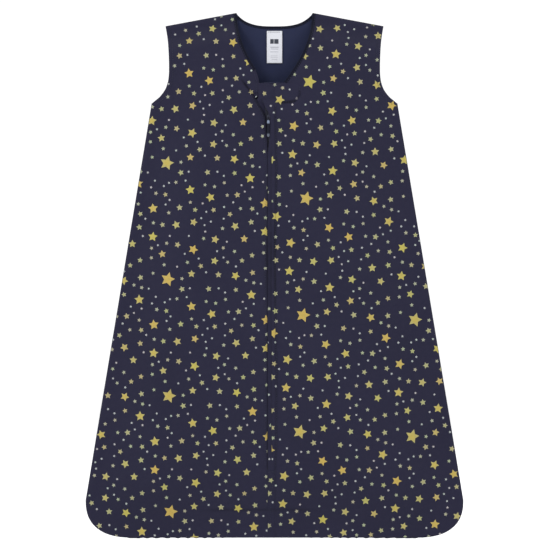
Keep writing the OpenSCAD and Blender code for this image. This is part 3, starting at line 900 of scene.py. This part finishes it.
def print_stars(name, places, limits, bvh, side=-1, lift=0.16, sink=0.18):
    """places: (x, z, radius, turn). limits: functions of (x, z) that are positive inside the cloth, in mm."""
    V, F, M, UV, ST = [], [], [], [], []
    rng = random.Random(11)
    for (cx, cz, r, turn) in places:
        shade = rng.random()
        polys = star_polys(cx, cz, r, turn)
        ok = True
        for f in limits:
            d = float(f(cx, cz))
            if d < -r:
                ok = False
                break
            if d < r + 0.8:
                h = 0.5
                gx = (float(f(cx + h, cz)) - float(f(cx - h, cz))) / (2 * h)
                gz = (float(f(cx, cz + h)) - float(f(cx, cz - h))) / (2 * h)
                gl = math.hypot(gx, gz)
                if gl < 1e-6:
                    continue
                polys = clip_polys(polys, gx / gl, gz / gl, (gx * cx + gz * cz) / gl - d / gl + 0.45)
                if not polys:
                    ok = False
                    break
        if not ok or not polys:
            continue
        left_over = sum(poly_area(q) for q in polys)
        if left_over < 0.16 * sum(poly_area(q) for q in star_polys(cx, cz, r, turn)):
            continue
        if -14 < cx < 9 and cz < -106 and side < 0:
            # finer across the slope of the lap
            cut = []
            k = math.floor(cx - r)
            while k < cx + r:
                cut += clip_polys(clip_polys(polys, 1, 0, k), -1, 0, -(k + 1.0))
                k += 1.0
            polys = cut
        index, pts, faces = {}, [], []
        for poly in polys:
            f = []
            for p in poly:
                key = (round(p[0], 3), round(p[1], 3))
                if key not in index:
                    index[key] = len(pts)
                    pts.append(p)
                if not f or f[-1] != index[key]:
                    f.append(index[key])
            if len(f) > 1 and f[0] == f[-1]:
                f = f[:-1]
            if len(set(f)) >= 3:
                faces.append(f)
        if not faces:
            continue
        hits = []
        for p in pts:
            loc, nrm = cast(bvh, p[0], p[1], side)
            if loc is None:
                hits = None
                break
            hits.append((loc, nrm))
        if hits is None:
            continue
        ys = [h[0][1] for h in hits]
        if max(ys) - min(ys) > 6.0 + r:
            continue
        base = len(V)
        n = len(pts)
        for (loc, nrm), p in zip(hits, pts):
            V.append(loc + nrm * lift)
            UV.append((p[0], p[1]))
            ST.append((min(1.0, math.hypot(p[0] - cx, p[1] - cz) / r), shade))
        for (loc, nrm), p in zip(hits, pts):
            V.append(loc - nrm * sink)
            UV.append((p[0], p[1]))
            ST.append((1.0, shade))
        mat = 0 if r > 5.6 else (1 if r > 4.4 else (2 if r > 3.1 else (3 if r > 2.1 else 4)))
        edges = {}
        for f in faces:
            ff = f if side < 0 else f[::-1]
            # seen from the front with x to the right and z up, keep anticlockwise faces outward
            F.append([base + i for i in ff])
            M.append(mat)
            F.append([base + n + i for i in ff[::-1]])
            M.append(mat)
            for i in range(len(ff)):
                e = (ff[i], ff[(i + 1) % len(ff)])
                edges[e] = edges.get(e, 0) + 1
        for (i, j) in edges:
            if (j, i) not in edges:
                F.append([base + j, base + i, base + n + i, base + n + j])
                M.append(mat)
    obj = build(name, V, F, STAR_MATS, M, UV, ST, sharp_angle=50)
    return obj


def lattice(anchor, H, Vv, box, seed):
    rng = random.Random(seed)
    turns = [rng.uniform(-0.5, 0.5) for _ in REPEAT]
    out = []
    for i in range(-5, 6):
        for j in range(-5, 6):
            for k, (u, v, r) in enumerate(REPEAT):
                a, b = i + u, j + v
                x = anchor[0] + a * H[0] + b * Vv[0]
                z = anchor[1] + a * H[1] + b * Vv[1]
                if box[0] - r < x < box[1] + r and box[2] - r < z < box[3] + r:
                    out.append((x, z, r, turns[k]))
    return out


F_BVH = outer_bvh([front_left, front_right, front_lower])
L_BVH = outer_bvh([front_left, front_lower])
R_BVH = outer_bvh([front_right, front_lower])
B_BVH = outer_bvh([back])



def right_print_edge(z):
    """The right front's print ends at its free edge, and lower down where the strip over the zip begins."""
    free = float(right_inner(min(z, -88.5)))
    if z < -569:
        return free
    return free + (WELT_X - free) * float(ramp((-158 - z) / 14.0))


places_left = lattice((-70, -280), (140, 6), (1.5, -145), (-240, -8, -660, 4), 3)
places_right = lattice((100, -330), (140, -6), (-4.0, -145), (-10, 240, -660, 4), 4)
common = [body_dist, shoulder_dist, arm_dist, neck_dist]
lim_left = common + [lambda x, z: -x - float(left_inner(z))]
lim_right = [body_dist, shoulder_dist, arm_dist, lambda x, z: float(neck_dist(x, z)) if x > 12.4 else 1e3, lambda x, z: (-88.9 - z) if x <= 12.4 else 1e3, lambda x, z: x - right_print_edge(z) if x < 9 else 1e3]
lim_strip = [body_dist, lambda x, z: x + 8.5, lambda x, z: WELT_X - 0.2 - x]
up_left = [p for p in places_left if p[1] > -569]
lo_left = [p for p in places_left if p[1] <= -569]
up_right = [p for p in places_right if p[1] > -569]
lo_right = [p for p in places_right if p[1] <= -569]
near_end = lambda p: abs(p[0] + 5) < 14 and abs(p[1] + 569) < p[2] + 1.5
stars_left = print_stars("stars_left", [p for p in up_left if not near_end(p)], lim_left, L_BVH)
stars_right_front = print_stars("stars_right_front", [p for p in up_right if not near_end(p)], lim_right, R_BVH)
places_strip = [p for p in lattice((26.0, -268.0), (140.0, 3.0), (2.0, -145.0), (-12, -1, -560, -172), 6) if p[2] < 4.2]
stars_strip = print_stars("stars_strip", places_strip, lim_strip, R_BVH)
lower_left = print_stars("stars_lower_left", [p for p in lo_left if not near_end(p)], lim_left, L_BVH)
lower_right = print_stars("stars_lower_right", [p for p in lo_right if not near_end(p)], lim_right, R_BVH)

back_lim = [body_dist, shoulder_dist, arm_dist, lambda x, z: float(back_neck_z(abs(x))) - z if abs(x) < 48 else 1e3]
places_back = lattice((31.0, -240), (140.5, 2.0), (-1.5, -145), (-240, 240, -660, 4), 5)
stars_back = print_stars("stars_back", places_back, back_lim, B_BVH, side=1)


STAR_PARTS = [stars_right_front, stars_strip]


# ---------------------------------------------------------------- bindings, seams and stitching
def unit(v):
    return v / (np.linalg.norm(v, axis=-1, keepdims=True) + 1e-12)


def loop_profile(a0, a1, b0, b1, n=18, power=0.55):
    """Rounded flat loop from a0 to a1 across and b0 to b1 through."""
    out = []
    for k in range(n):
        t = 2 * math.pi * k / n
        c, s = math.cos(t), math.sin(t)
        out.append(((a0 + a1) / 2 + (a1 - a0) / 2 * math.copysign(abs(c) ** power, c), (b0 + b1) / 2 + (b1 - b0) / 2 * math.copysign(abs(s) ** power, s)))
    return out


def sweep(name, C, A, B, profile, mat, wobble=None):
    """Closed tube of the given profile along points C, with A across the cloth and B out of it."""
    C, A, B = np.asarray(C, float), unit(np.asarray(A, float)), unit(np.asarray(B, float))
    N, P = len(C), len(profile)
    seg = np.concatenate([[0], np.cumsum(np.linalg.norm(np.diff(C, axis=0), axis=1))])
    V, UV = [], []
    per = np.concatenate([[0], np.cumsum([math.dist(profile[i], profile[(i + 1) % P]) for i in range(P)])])
    for i in range(N):
        for k, (a, b) in enumerate(profile):
            w = wobble(seg[i], k, a, b) if wobble else (0.0, 0.0)
            V.append(C[i] + A[i] * (a + w[0]) + B[i] * (b + w[1]))
            UV.append((seg[i], per[k]))
    F = []
    for i in range(N - 1):
        for k in range(P):
            k2 = (k + 1) % P
            F.append([i * P + k, i * P + k2, (i + 1) * P + k2, (i + 1) * P + k])
    for i, s in ((0, 1), (N - 1, -1)):
        c = len(V)
        V.append(C[i] + A[i] * (sum(p[0] for p in profile) / P) + B[i] * (sum(p[1] for p in profile) / P))
        UV.append((seg[i], 0))
        for k in range(P):
            k2 = (k + 1) % P
            F.append([c, i * P + k2, i * P + k][::s])
    o = build(name, V, F, [mat], None, UV, sharp_angle=55)
    recalc(o)
    return o


def surface_normal(f, x, z):
    h = 0.6
    gx = (f(x + h, z) - f(x - h, z)) / (2 * h)
    gz = (f(x, z + h) - f(x, z - h)) / (2 * h)
    n = np.stack([gx, -np.ones_like(gx), gz], -1)
    return unit(n)


def edge_frame(x, z, y, nrm, inward_sign):
    """Path points on a cloth edge with the in-cloth direction across it."""
    P = np.stack([x, y, z], -1)
    T = unit(np.gradient(P, axis=0))
    A = unit(np.cross(nrm, T)) * inward_sign
    return P, A


def join(name, objs):
    bm = bmesh.new()
    mats = []
    uv_names = []
    for o in objs:
        for m in o.data.materials:
            if m not in mats:
                mats.append(m)
    meshes = []
    for o in objs:
        remap = [mats.index(m) for m in o.data.materials]
        idx = np.empty(len(o.data.polygons), dtype=np.int32)
        o.data.polygons.foreach_get("material_index", idx)
        o.data.polygons.foreach_set("material_index", np.array(remap, np.int32)[idx])
        bm.from_mesh(o.data)
    mesh = bpy.data.meshes.new(name)
    bm.to_mesh(mesh)
    bm.free()
    for m in mats:
        mesh.materials.append(m)
    for o in objs:
        bpy.data.objects.remove(o)
    return link(bpy.data.objects.new(name, mesh))


def front_neck_binding(side):
    zz = np.concatenate([np.linspace(-0.6, -72, 60)]) if side < 0 else np.linspace(-0.6, -87.6, 74)
    x = side * neck_x(zz)
    f = lambda a, b: front_y(a, b)
    n = surface_normal(f, x, zz)
    y = f(x, zz)
    P, A = edge_frame(x, zz, y, n, 1)
    if np.mean(A[:, 0] * side) < 0:
        A = -A
    mid = P - n * 0.55
    w = lambda s, k, a, b: (0.10 * math.sin(s * 2 * math.pi / 6.2) * (1 if a > 1.6 else 0), 0.07 * math.sin(s * 2 * math.pi / 3.1 + 0.4 * math.sin(s)) * (1 if b > 0 else 0))
    o = sweep("neck_binding_front", mid, A, n, loop_profile(-0.9, 3.0, -1.15, 1.25, 20), MAT_BIND, w)
    return o, mid, A, n


def arm_binding(side):
    zz = np.linspace(-17.6, -112.2, 74)
    parts = []
    x = side * arm_x(zz)
    n = surface_normal(lambda a, b: front_base(a, b), x, zz)
    P, A = edge_frame(x, zz, front_y(x, zz), n, 1)
    if np.mean(A[:, 0] * side) > 0:
        A = -A
    mid = P - n * 0.55
    w = lambda s, k, a, b: (0.10 * math.sin(s * 2 * math.pi / 5.3) * (1 if a > 3 else 0), 0.06 * math.sin(s * 2 * math.pi / 2.9) * (1 if b > 0 else 0))
    parts.append(sweep("a", mid, A, n, loop_profile(0.1, 5.5, -1.65, -0.5, 20), MAT_INSIDE, w))
    fr = (mid, A, n)
    nb = np.tile(np.array([0, 1.0, 0]), (len(zz), 1))
    Pb, Ab = edge_frame(x, zz, back_y(x, zz), nb, 1)
    if np.mean(Ab[:, 0] * side) > 0:
        Ab = -Ab
    midb = Pb - nb * 0.6
    parts.append(sweep("b", midb, Ab, nb, loop_profile(0.1, 5.5, -1.65, -0.45, 20), MAT_INSIDE, w))
    return parts, fr, (midb, Ab, nb)


def back_neck_piece():
    x = np.linspace(-45.5, 45.5, 70)
    z = back_neck_z(np.abs(x))
    n = np.tile(np.array([0, 1.0, 0]), (len(x), 1))
    P, A = edge_frame(x, z, back_y(x, z), n, 1)
    if np.mean(A[:, 2]) > 0:
        A = -A
    mid = P - n * 0.6
    return sweep("back_neck_binding_loop", mid, A, n, loop_profile(-0.6, 2.9, -1.3, 0.75, 20), MAT_BIND), mid, A, n


def dashes(name, P, T_up, r=0.24, pitch=3.0, length=2.15):
    """Lockstitch line along points P, lying on the cloth whose outward directions are T_up."""
    P = np.asarray(P, float)
    U = unit(np.asarray(T_up, float))
    seg = np.concatenate([[0], np.cumsum(np.linalg.norm(np.diff(P, axis=0), axis=1))])
    total = seg[-1]
    V, F, UV = [], [], []
    s = 0.6
    while s + length < total:
        st = np.array([s, s + length * 0.12, s + length * 0.5, s + length * 0.88, s + length])
        C = np.stack([np.interp(st, seg, P[:, k]) for k in range(3)], -1)
        N = unit(np.stack([np.interp(st, seg, U[:, k]) for k in range(3)], -1))
        T = unit(np.gradient(C, axis=0))
        S = unit(np.cross(T, N))
        rad = np.array([0.25, 0.85, 1.0, 0.85, 0.25]) * r
        lift = np.array([-0.12, 0.08, 0.14, 0.08, -0.12])
        base = len(V)
        for i in range(5):
            for k in range(6):
                a = 2 * math.pi * k / 6
                V.append(C[i] + N[i] * (lift[i] + rad[i] * math.sin(a)) + S[i] * rad[i] * math.cos(a))
                UV.append((st[i], k / 6.0))
        for i in range(4):
            for k in range(6):
                k2 = (k + 1) % 6
                F.append([base + i * 6 + k, base + i * 6 + k2, base + (i + 1) * 6 + k2, base + (i + 1) * 6 + k])
        F.append([base + k for k in range(6)][::-1])
        F.append([base + 24 + k for k in range(6)])
        s += pitch
    o = build(name, V, F, [MAT_THREAD], None, UV)
    recalc(o)
    return o


def on_front(xz, bvh, side=-1, lift=0.05):
    P, N = [], []
    for x, z in xz:
        loc, nrm = cast(bvh, float(x), float(z), side)
        if loc is None:
            continue
        P.append(loc + nrm * lift)
        N.append(nrm)
    return np.array(P), np.array(N)


def polyline(pts, step=1.5):
    out = []
    for (x0, z0), (x1, z1) in zip(pts[:-1], pts[1:]):
        n = max(1, int(math.hypot(x1 - x0, z1 - z0) / step))
        for i in range(n):
            out.append((x0 + (x1 - x0) * i / n, z0 + (z1 - z0) * i / n))
    out.append(pts[-1])
    return out


stars_right = join("stars_right", STAR_PARTS)
nb_left, ml, al, nl = front_neck_binding(-1)
nb_left.name = "neck_binding_left_loop"
nb_right, mr, ar, nr = front_neck_binding(1)
nb_right.name = "neck_binding_right_loop"
arm_l, arm_lf, arm_lb = arm_binding(-1)
arm_left = join("armhole_binding_left_loops", arm_l)
arm_r, arm_rf, arm_rb = arm_binding(1)
arm_right = join("armhole_binding_right_loops", arm_r)
neck_back, bm_, ba_, bn_ = back_neck_piece()

st_neck_l = dashes("stitch_neck_left", ml + al * 2.2 + nl * 1.22, nl)
st_neck_r = dashes("stitch_neck_right", mr + ar * 2.2 + nr * 1.22, nr)
st_arm = []
for (m_, a_, n_), vis in ((arm_lf, [front_left]), (arm_rf, [front_right])):
    q = m_ + a_ * 4.6
    P_, N_ = on_front(list(zip(q[:, 0], q[:, 2])), outer_bvh(vis))
    st_arm.append(dashes("d", P_, N_))
for (m_, a_, n_) in (arm_lb, arm_rb):
    q = m_ + a_ * 4.6
    P_, N_ = on_front(list(zip(q[:, 0], q[:, 2])), B_BVH, side=1)
    st_arm.append(dashes("d", P_, N_))
st_arm.append(dashes("d", bm_ + ba_ * 2.1 + bn_ * 0.72, bn_))
st_arm.append(dashes("d", bm_ + ba_ * 2.1 - bn_ * 1.27, -bn_))
stitch_body = join("stitches_armholes_back_neck", st_arm)

# topstitching of the left front along its zip edge and cut corner, and of the lap on the right
edge_l = [(-float(left_inner(z)) - 3.2, z) for z in np.linspace(-74, -566, 260)]
P_, N_ = on_front(edge_l, L_BVH)
st_zip_l = dashes("stitch_zip_left", P_, N_)
edge_r = [(float(bite_x(z)), z) for z in np.linspace(-116, -566, 240)]
P_, N_ = on_front(edge_r, R_BVH)
st_zip_r = dashes("stitch_zip_right", P_, N_)
low1 = [(0.9 * (1 - ramp((-569 - z) / 40.0)) - 5.4 * ramp((-569 - z) / 40.0), z) for z in np.linspace(-570, -652, 50)]
P_, N_ = on_front(low1, F_BVH)
st_low = [dashes("d", P_, N_)]
tack = [(x, -572.0 - 0.5 * (i % 2)) for i, x in enumerate(np.linspace(-8.2, 1.2, 12))]
P_, N_ = on_front(tack, F_BVH, lift=0.12)
st_low.append(dashes("d", P_, N_, r=0.34, pitch=1.0, length=1.6))
stitch_low = join("stitches_lower_seam", st_low)
gl = polyline([(3.6, -112.6), (20.0, -112.4), (25.5, -110.8), (28.6, -107.6), (30.4, -103.0), (31.3, -97.0), (31.3, -92.5)])
P_, N_ = on_front(gl, R_BVH)
st_guard = [dashes("d", P_, N_, r=0.27)]
P_, N_ = on_front([(x, -91.2) for x in np.linspace(-14.5, 9.0, 30)], R_BVH)
st_guard.append(dashes("d", P_, N_))
st_guard = join("stitches_guard", st_guard)


# overlocked seam allowances inside the sides, hem and shoulders
def overlock(name, xz, width, y, inward):
    xz = np.array(xz, float)
    P = np.stack([xz[:, 0], np.full(len(xz), y) if np.isscalar(y) else np.asarray(y, float), xz[:, 1]], -1)
    T = unit(np.gradient(P, axis=0))
    B = np.tile(np.array([0, -1.0, 0]), (len(P), 1))
    A = unit(np.cross(B, T))
    c = np.array(inward, float)
    s = np.sign(np.sum(A * (np.array([c[0], float(np.mean(y)), c[1]]) - P), axis=1).mean())
    A = A * s
    w = lambda q, k, a, b: (0.45 * math.sin(q * 2 * math.pi / 3.0) * (1 if a > width * 0.6 else 0), 0.22 * abs(math.sin(q * math.pi / 1.5)) * (1 if abs(b) > 0.2 else 0) * (1 if b > 0 else -1))
    return sweep(name, P, A, B, loop_profile(0.8, width, -0.42, 0.42, 14), MAT_THREAD, w)


zs = np.linspace(-114, -606, 330)
side_l = overlock("side_seam_left_overlock", [(-float(side_x(z)), z) for z in zs], 7.4, 9.7, (0, -300))
side_r = overlock("side_seam_right_overlock", [(float(side_x(z)), z) for z in zs], 7.4, 9.7, (0, -300))
ang = np.linspace(0, math.pi / 2, 30)
hem_pts = [(-float(side_x(-609 - 47 * math.sin(a))), -609 - 47 * math.sin(a)) for a in ang]
hem_pts += [(x, -656.0) for x in np.linspace(-174, 174, 232)]
hem_pts += [(float(side_x(-609 - 47 * math.sin(a))), -609 - 47 * math.sin(a)) for a in ang[::-1]]
hem = overlock("bottom_hem_overlock", hem_pts, 7.4, 9.7, (0, -300))
sh_l = overlock("shoulder_seam_left_overlock", [(-x, float(shoulder_z(x))) for x in np.linspace(50, 134, 58)], 6.0, 9.7, (0, -300))
sh_r = overlock("shoulder_seam_right_overlock", [(x, float(shoulder_z(x))) for x in np.linspace(50, 134, 58)], 6.0, 9.7, (0, -300))
zc = np.linspace(-571, -648, 54)
cs = overlock("centre_seam_allowance", [(-8.6, z) for z in zc], 6.0, front_y(np.full(54, -12.0), zc) + 2.1, (-100, -600))


# ---------------------------------------------------------------- zip
def tape(name, x0, x1, z0, z1, y0, y1):
    rows = int(abs(z1 - z0) / 3)
    zz = np.linspace(z0, z1, rows)
    cols = np.linspace(0, 1, 8)
    X = x0 + (x1 - x0) * np.tile(cols, (rows, 1))
    Z = np.repeat(zz[:, None], 8, axis=1)
    Y = y0 + 0.06 * np.sin(Z * 2 * math.pi / 9.0) + 0.08 * np.cos((X - x0) * 2.2)
    return grid_solid(name, X, Y, Z, abs(y1 - y0) * 0.9, [MAT_TAPE, MAT_TAPE], (0, -1, 0), inner_mat=0)


def coil(name, xe, side, z0, z1, y0, y1, pitch=1.5):
    """Nylon coil: one rounded head and two legs to each turn, side -1 reaches left from the zip line xe."""
    V, F, UV = [], [], []
    n = int(abs(z1 - z0) / pitch)
    ym = (y0 + y1) / 2
    h = abs(y1 - y0) / 2
    L = 2.05
    for i in range(n):
        zc = z0 - pitch * (i + 0.5)
        if side > 0:
            zc -= pitch * 0.5
        path = [(-L, 0.30), (-L * 0.5, 0.2), (-0.35, 0.05), (0.0, 0.0)]
        stations = [(-L, 0.34, 0.55), (-L * 0.6, 0.36, 0.62), (-L * 0.25, 0.42, 0.8), (-0.08, 0.5, 0.86), (0.0, 0.34, 0.6)]
        base = len(V)
        for (dx, rz, ry) in stations:
            for k in range(8):
                a = 2 * math.pi * k / 8
                V.append((xe - side * 0.0 + (dx if side < 0 else -dx), ym + h * ry * math.sin(a), zc + pitch * 0.62 * rz * math.cos(a)))
                UV.append((dx, k))
        m = len(stations)
        for s in range(m - 1):
            for k in range(8):
                k2 = (k + 1) % 8
                F.append([base + s * 8 + k, base + s * 8 + k2, base + (s + 1) * 8 + k2, base + (s + 1) * 8 + k])
        F.append([base + k for k in range(8)][::-1])
        F.append([base + (m - 1) * 8 + k for k in range(8)])
    # the cord the turns are sewn on
    cb = len(V)
    xs = xe + (-1.55 if side < 0 else 1.55)
    for j, z in enumerate((z0, z1)):
        for k in range(8):
            a = 2 * math.pi * k / 8
            V.append((xs + 0.3 * math.cos(a), ym + 0.35 * math.sin(a), z))
            UV.append((0, k))
    for k in range(8):
        k2 = (k + 1) % 8
        F.append([cb + k, cb + k2, cb + 8 + k2, cb + 8 + k])
    F.append([cb + k for k in range(8)])
    F.append([cb + 8 + k for k in range(8)][::-1])
    o = build(name, V, F, [MAT_COIL], None, UV, sharp_angle=60)
    recalc(o)
    return o


tape_l = tape("zip_tape_left_weave", -11.2, -6.3, -116, -568.8, -10.25, -9.7)
tape_r = tape("zip_tape_right_weave", -4.3, 1.2, -116, -568.8, -10.25, -9.7)
coil_l = coil("zip_coil_left_turns", -5.06, -1, -131.5, -562.5, -12.05, -10.4)
coil_r = coil("zip_coil_right_turns", -4.94, 1, -131.5, -562.5, -12.05, -10.4)


def softened(node, name, mat, width=0.25, segments=3):
    """The CAD solid with its edges rounded off."""
    src = NODES[node]
    mesh = src.data.copy()
    mesh.name = name
    o = link(bpy.data.objects.new(name, mesh))
    bm = bmesh.new()
    bm.from_mesh(mesh)
    bmesh.ops.remove_doubles(bm, verts=bm.verts, dist=1e-6)
    bmesh.ops.dissolve_limit(bm, angle_limit=math.radians(3), verts=bm.verts, edges=bm.edges)
    sharp = [e for e in bm.edges if len(e.link_faces) == 2 and e.calc_face_angle(0) > math.radians(28)]
    if sharp:
        bmesh.ops.bevel(bm, geom=sharp, offset=width * MM, segments=segments, profile=0.6, affect="EDGES", clamp_overlap=True)
    bmesh.ops.triangulate(bm, faces=[f for f in bm.faces if len(f.verts) > 4])
    bm.to_mesh(mesh)
    bm.free()
    mesh.materials.clear()
    mesh.materials.append(mat)
    mesh.polygons.foreach_set("use_smooth", np.ones(len(mesh.polygons), bool))
    mesh.set_sharp_from_angle(angle=math.radians(38))
    mesh.update()
    return o


slider = softened("slider_body", "slider_moulded", MAT_SLIDER, 0.22)
pull = softened("pull_tab", "pull_moulded", MAT_PULL, 0.2)
stop_l = softened("zipper_top_stop_left", "top_stop_left_crimp", MAT_STOP, 0.18)
stop_r = softened("zipper_top_stop_right", "top_stop_right_crimp", MAT_STOP, 0.18)
stop_b = softened("zipper_bottom_stop", "bottom_stop_crimp", MAT_STOP, 0.25)

# ---------------------------------------------------------------- neck label: a folded satin tab with generic marks
rows = 34
zz = np.linspace(-22.6, -62.4, rows)
cols = spaced(20, 0.3)
X = -9.4 + 18.8 * np.tile(cols, (rows, 1))
Z = np.repeat(zz[:, None], 20, axis=1)
Y = 8.35 + 0.22 * np.sin((X + 3) * 0.22) * ramp((-Z - 26) / 20) - 0.35 * ramp((-Z - 44) / 20.0) * np.cos(X * 0.16)
label = grid_solid("neck_label_satin", X, Y, Z, 0.55, [MAT_SATIN, MAT_SATIN], (0, -1, 0), inner_mat=0, bulge=0.5)
label_bvh = outer_bvh([label])


def patch_on(name, x0, x1, z0, z1, mat, bvh, lift=0.06, n=6, m=5, round_=0.0):
    X = np.tile(np.linspace(x0, x1, n), (m, 1))
    Z = np.repeat(np.linspace(z0, z1, m)[:, None], n, axis=1)
    Y = np.zeros_like(X)
    for i in range(m):
        for j in range(n):
            loc, nrm = cast(bvh, X[i, j], Z[i, j])
            Y[i, j] = loc[1] - lift
    return grid_solid(name, X, Y, Z, 0.1, [mat, mat], (0, -1, 0), inner_mat=0, bulge=0.0)


marks = [patch_on("m", -5.4, -1.0, -32.6, -38.4, MAT_INK, label_bvh), patch_on("m", -0.4, 5.0, -32.6, -38.4, MAT_INK, label_bvh)]
for (a, b, z, h, mt) in ((-5.2, 5.2, -42.2, 1.0, MAT_INK2), (-4.6, 4.6, -44.6, 0.8, MAT_INK2), (-5.4, 5.0, -48.2, 0.7, MAT_INK2), (-4.4, 4.0, -53.4, 0.5, MAT_INK2), (-4.8, 4.4, -55.6, 0.5, MAT_INK2), (-3.6, 3.4, -58.0, 0.5, MAT_INK2)):
    marks.append(patch_on("m", a, b, z, z - h, mt, label_bvh, m=2))
label_marks = join("neck_label_marks", marks)
lab_st = dashes("d", [(x, 7.95, -23.9) for x in np.linspace(-8.6, 8.6, 18)], [(0, -1, 0)] * 18, r=0.2, pitch=2.2, length=1.6)
lab_st.name = "stitch_label"

# ---------------------------------------------------------------- who moves with what
FOLD_L = (np.array([-40.618, -40.0]), np.array([-12.0, -569.0]))
FOLD_R = (np.array([40.618, -40.0]), np.array([2.0, -569.0]))


def fold_blend(obj, side, half=4.0):
    a, b = FOLD_L if side < 0 else FOLD_R
    d = (b - a) / np.linalg.norm(b - a)
    n = np.array([-d[1], d[0]])
    if n[0] * side > 0:
        n = -n
    s, e = a - n * half, a + n * half
    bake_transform(obj, "bag", "left_flap" if side < 0 else "right_flap", (s[0] * MM, -0.0135, s[1] * MM), (e[0] * MM, -0.0135, e[1] * MM))


for o in (front_left, nb_left, st_neck_l, st_zip_l, stars_left):
    fold_blend(o, -1)
for o in (front_right, nb_right, st_neck_r, st_zip_r, stars_right):
    fold_blend(o, 1)
for o in (front_lower, back, lower_left, lower_right, stars_back, arm_left, arm_right, neck_back, stitch_body, stitch_low, side_l, side_r, hem, sh_l, sh_r, cs, stop_b):
    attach(o, "bag")
for o in (tape_l, coil_l, stop_l):
    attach(o, "left_flap")
for o in (guard, garage, st_guard, tape_r, coil_r, stop_r):
    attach(o, "right_flap")
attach(slider, "slider")
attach(pull, "pull")
for o in (label, label_marks, lab_st):
    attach(o, "label")

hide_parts("front_panel_left", "front_flap_left")
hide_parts("front_panel_right", "front_flap_right", "zip_cover_welt")
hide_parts("centre_seam")
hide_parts("back_panel")
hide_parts("zip_guard")
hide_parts("neck_binding_left", "flap_neck_binding_left")
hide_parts("neck_binding_right", "flap_neck_binding_right")
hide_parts("back_neck_binding")
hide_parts("armhole_binding_left")
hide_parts("armhole_binding_right")
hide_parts("side_seam_left")
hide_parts("side_seam_right")
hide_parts("bottom_hem")
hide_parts("shoulder_seam_left")
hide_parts("shoulder_seam_right")
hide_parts("zipper_tape_left")
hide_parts("zipper_tape_right")
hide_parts("zipper_coil_left")
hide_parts("zipper_coil_right")
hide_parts("zipper_top_stop_left")
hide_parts("zipper_top_stop_right")
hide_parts("zipper_bottom_stop")
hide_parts("slider_body")
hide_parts("pull_tab")
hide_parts("neck_label")


def face_area(obj):
    k = int(obj["outer_faces"])
    return sum(p.area for p in obj.data.polygons[:k])


# flat cuts: the half fronts, the whole back and the small pieces
print("AREAS", {o.name: round(face_area(o), 5) for o in (front_left, front_right, front_lower, back, guard, garage, label)})

# ---------------------------------------------------------------- floor and light
floor_mesh = bpy.data.meshes.new("studio_floor")
floor_mesh.from_pydata([(-6, -6, -0.72), (6, -6, -0.72), (6, 6, -0.72), (-6, 6, -0.72)], [], [(0, 1, 2, 3)])
floor = link(bpy.data.objects.new("studio_floor", floor_mesh))
m, nt, b = new_material("studio_floor_paint")
tc = nt.nodes.new("ShaderNodeTexCoord")
n1 = noise(nt, tc.outputs["Object"], 6.0, 2.0)
nt.links.new(mix_colour(nt, map_range(nt, n1, 0.3, 0.7, 0.0, 1.0), (0.93, 0.93, 0.93, 1), (0.95, 0.95, 0.95, 1)), b.inputs["Base Color"])
b.inputs["Roughness"].default_value = 0.9
b.inputs["Specular IOR Level"].default_value = 0.1
floor_mesh.materials.append(m)

world = bpy.data.worlds.new("studio")
SCENE.world = world
world.use_nodes = True
wn = world.node_tree
bg = wn.nodes.get("Background") or wn.nodes.new("ShaderNodeBackground")
bg.inputs[0].default_value = (1.0, 1.0, 1.0, 1.0)
bg.inputs[1].default_value = 1.08


def area_light(name, location, target, size, power, colour=(1, 1, 1)):
    d = bpy.data.lights.new(name, "AREA")
    d.shape = "DISK"
    d.size = size
    d.energy = power
    d.color = colour
    o = bpy.data.objects.new(name, d)
    o.location = location
    o.rotation_euler = (Vector(target) - Vector(location)).to_track_quat("-Z", "Y").to_euler()
    SCENE.collection.objects.link(o)
    return o


area_light("key_light", (-1.6, -1.9, 1.0), (0, 0, -0.33), 0.9, 26.0)
area_light("fill_light", (1.8, -1.7, 0.2), (0, 0, -0.33), 1.4, 9.0)
area_light("back_light", (0.8, 2.2, 1.0), (0, 0, -0.33), 1.2, 18.0)
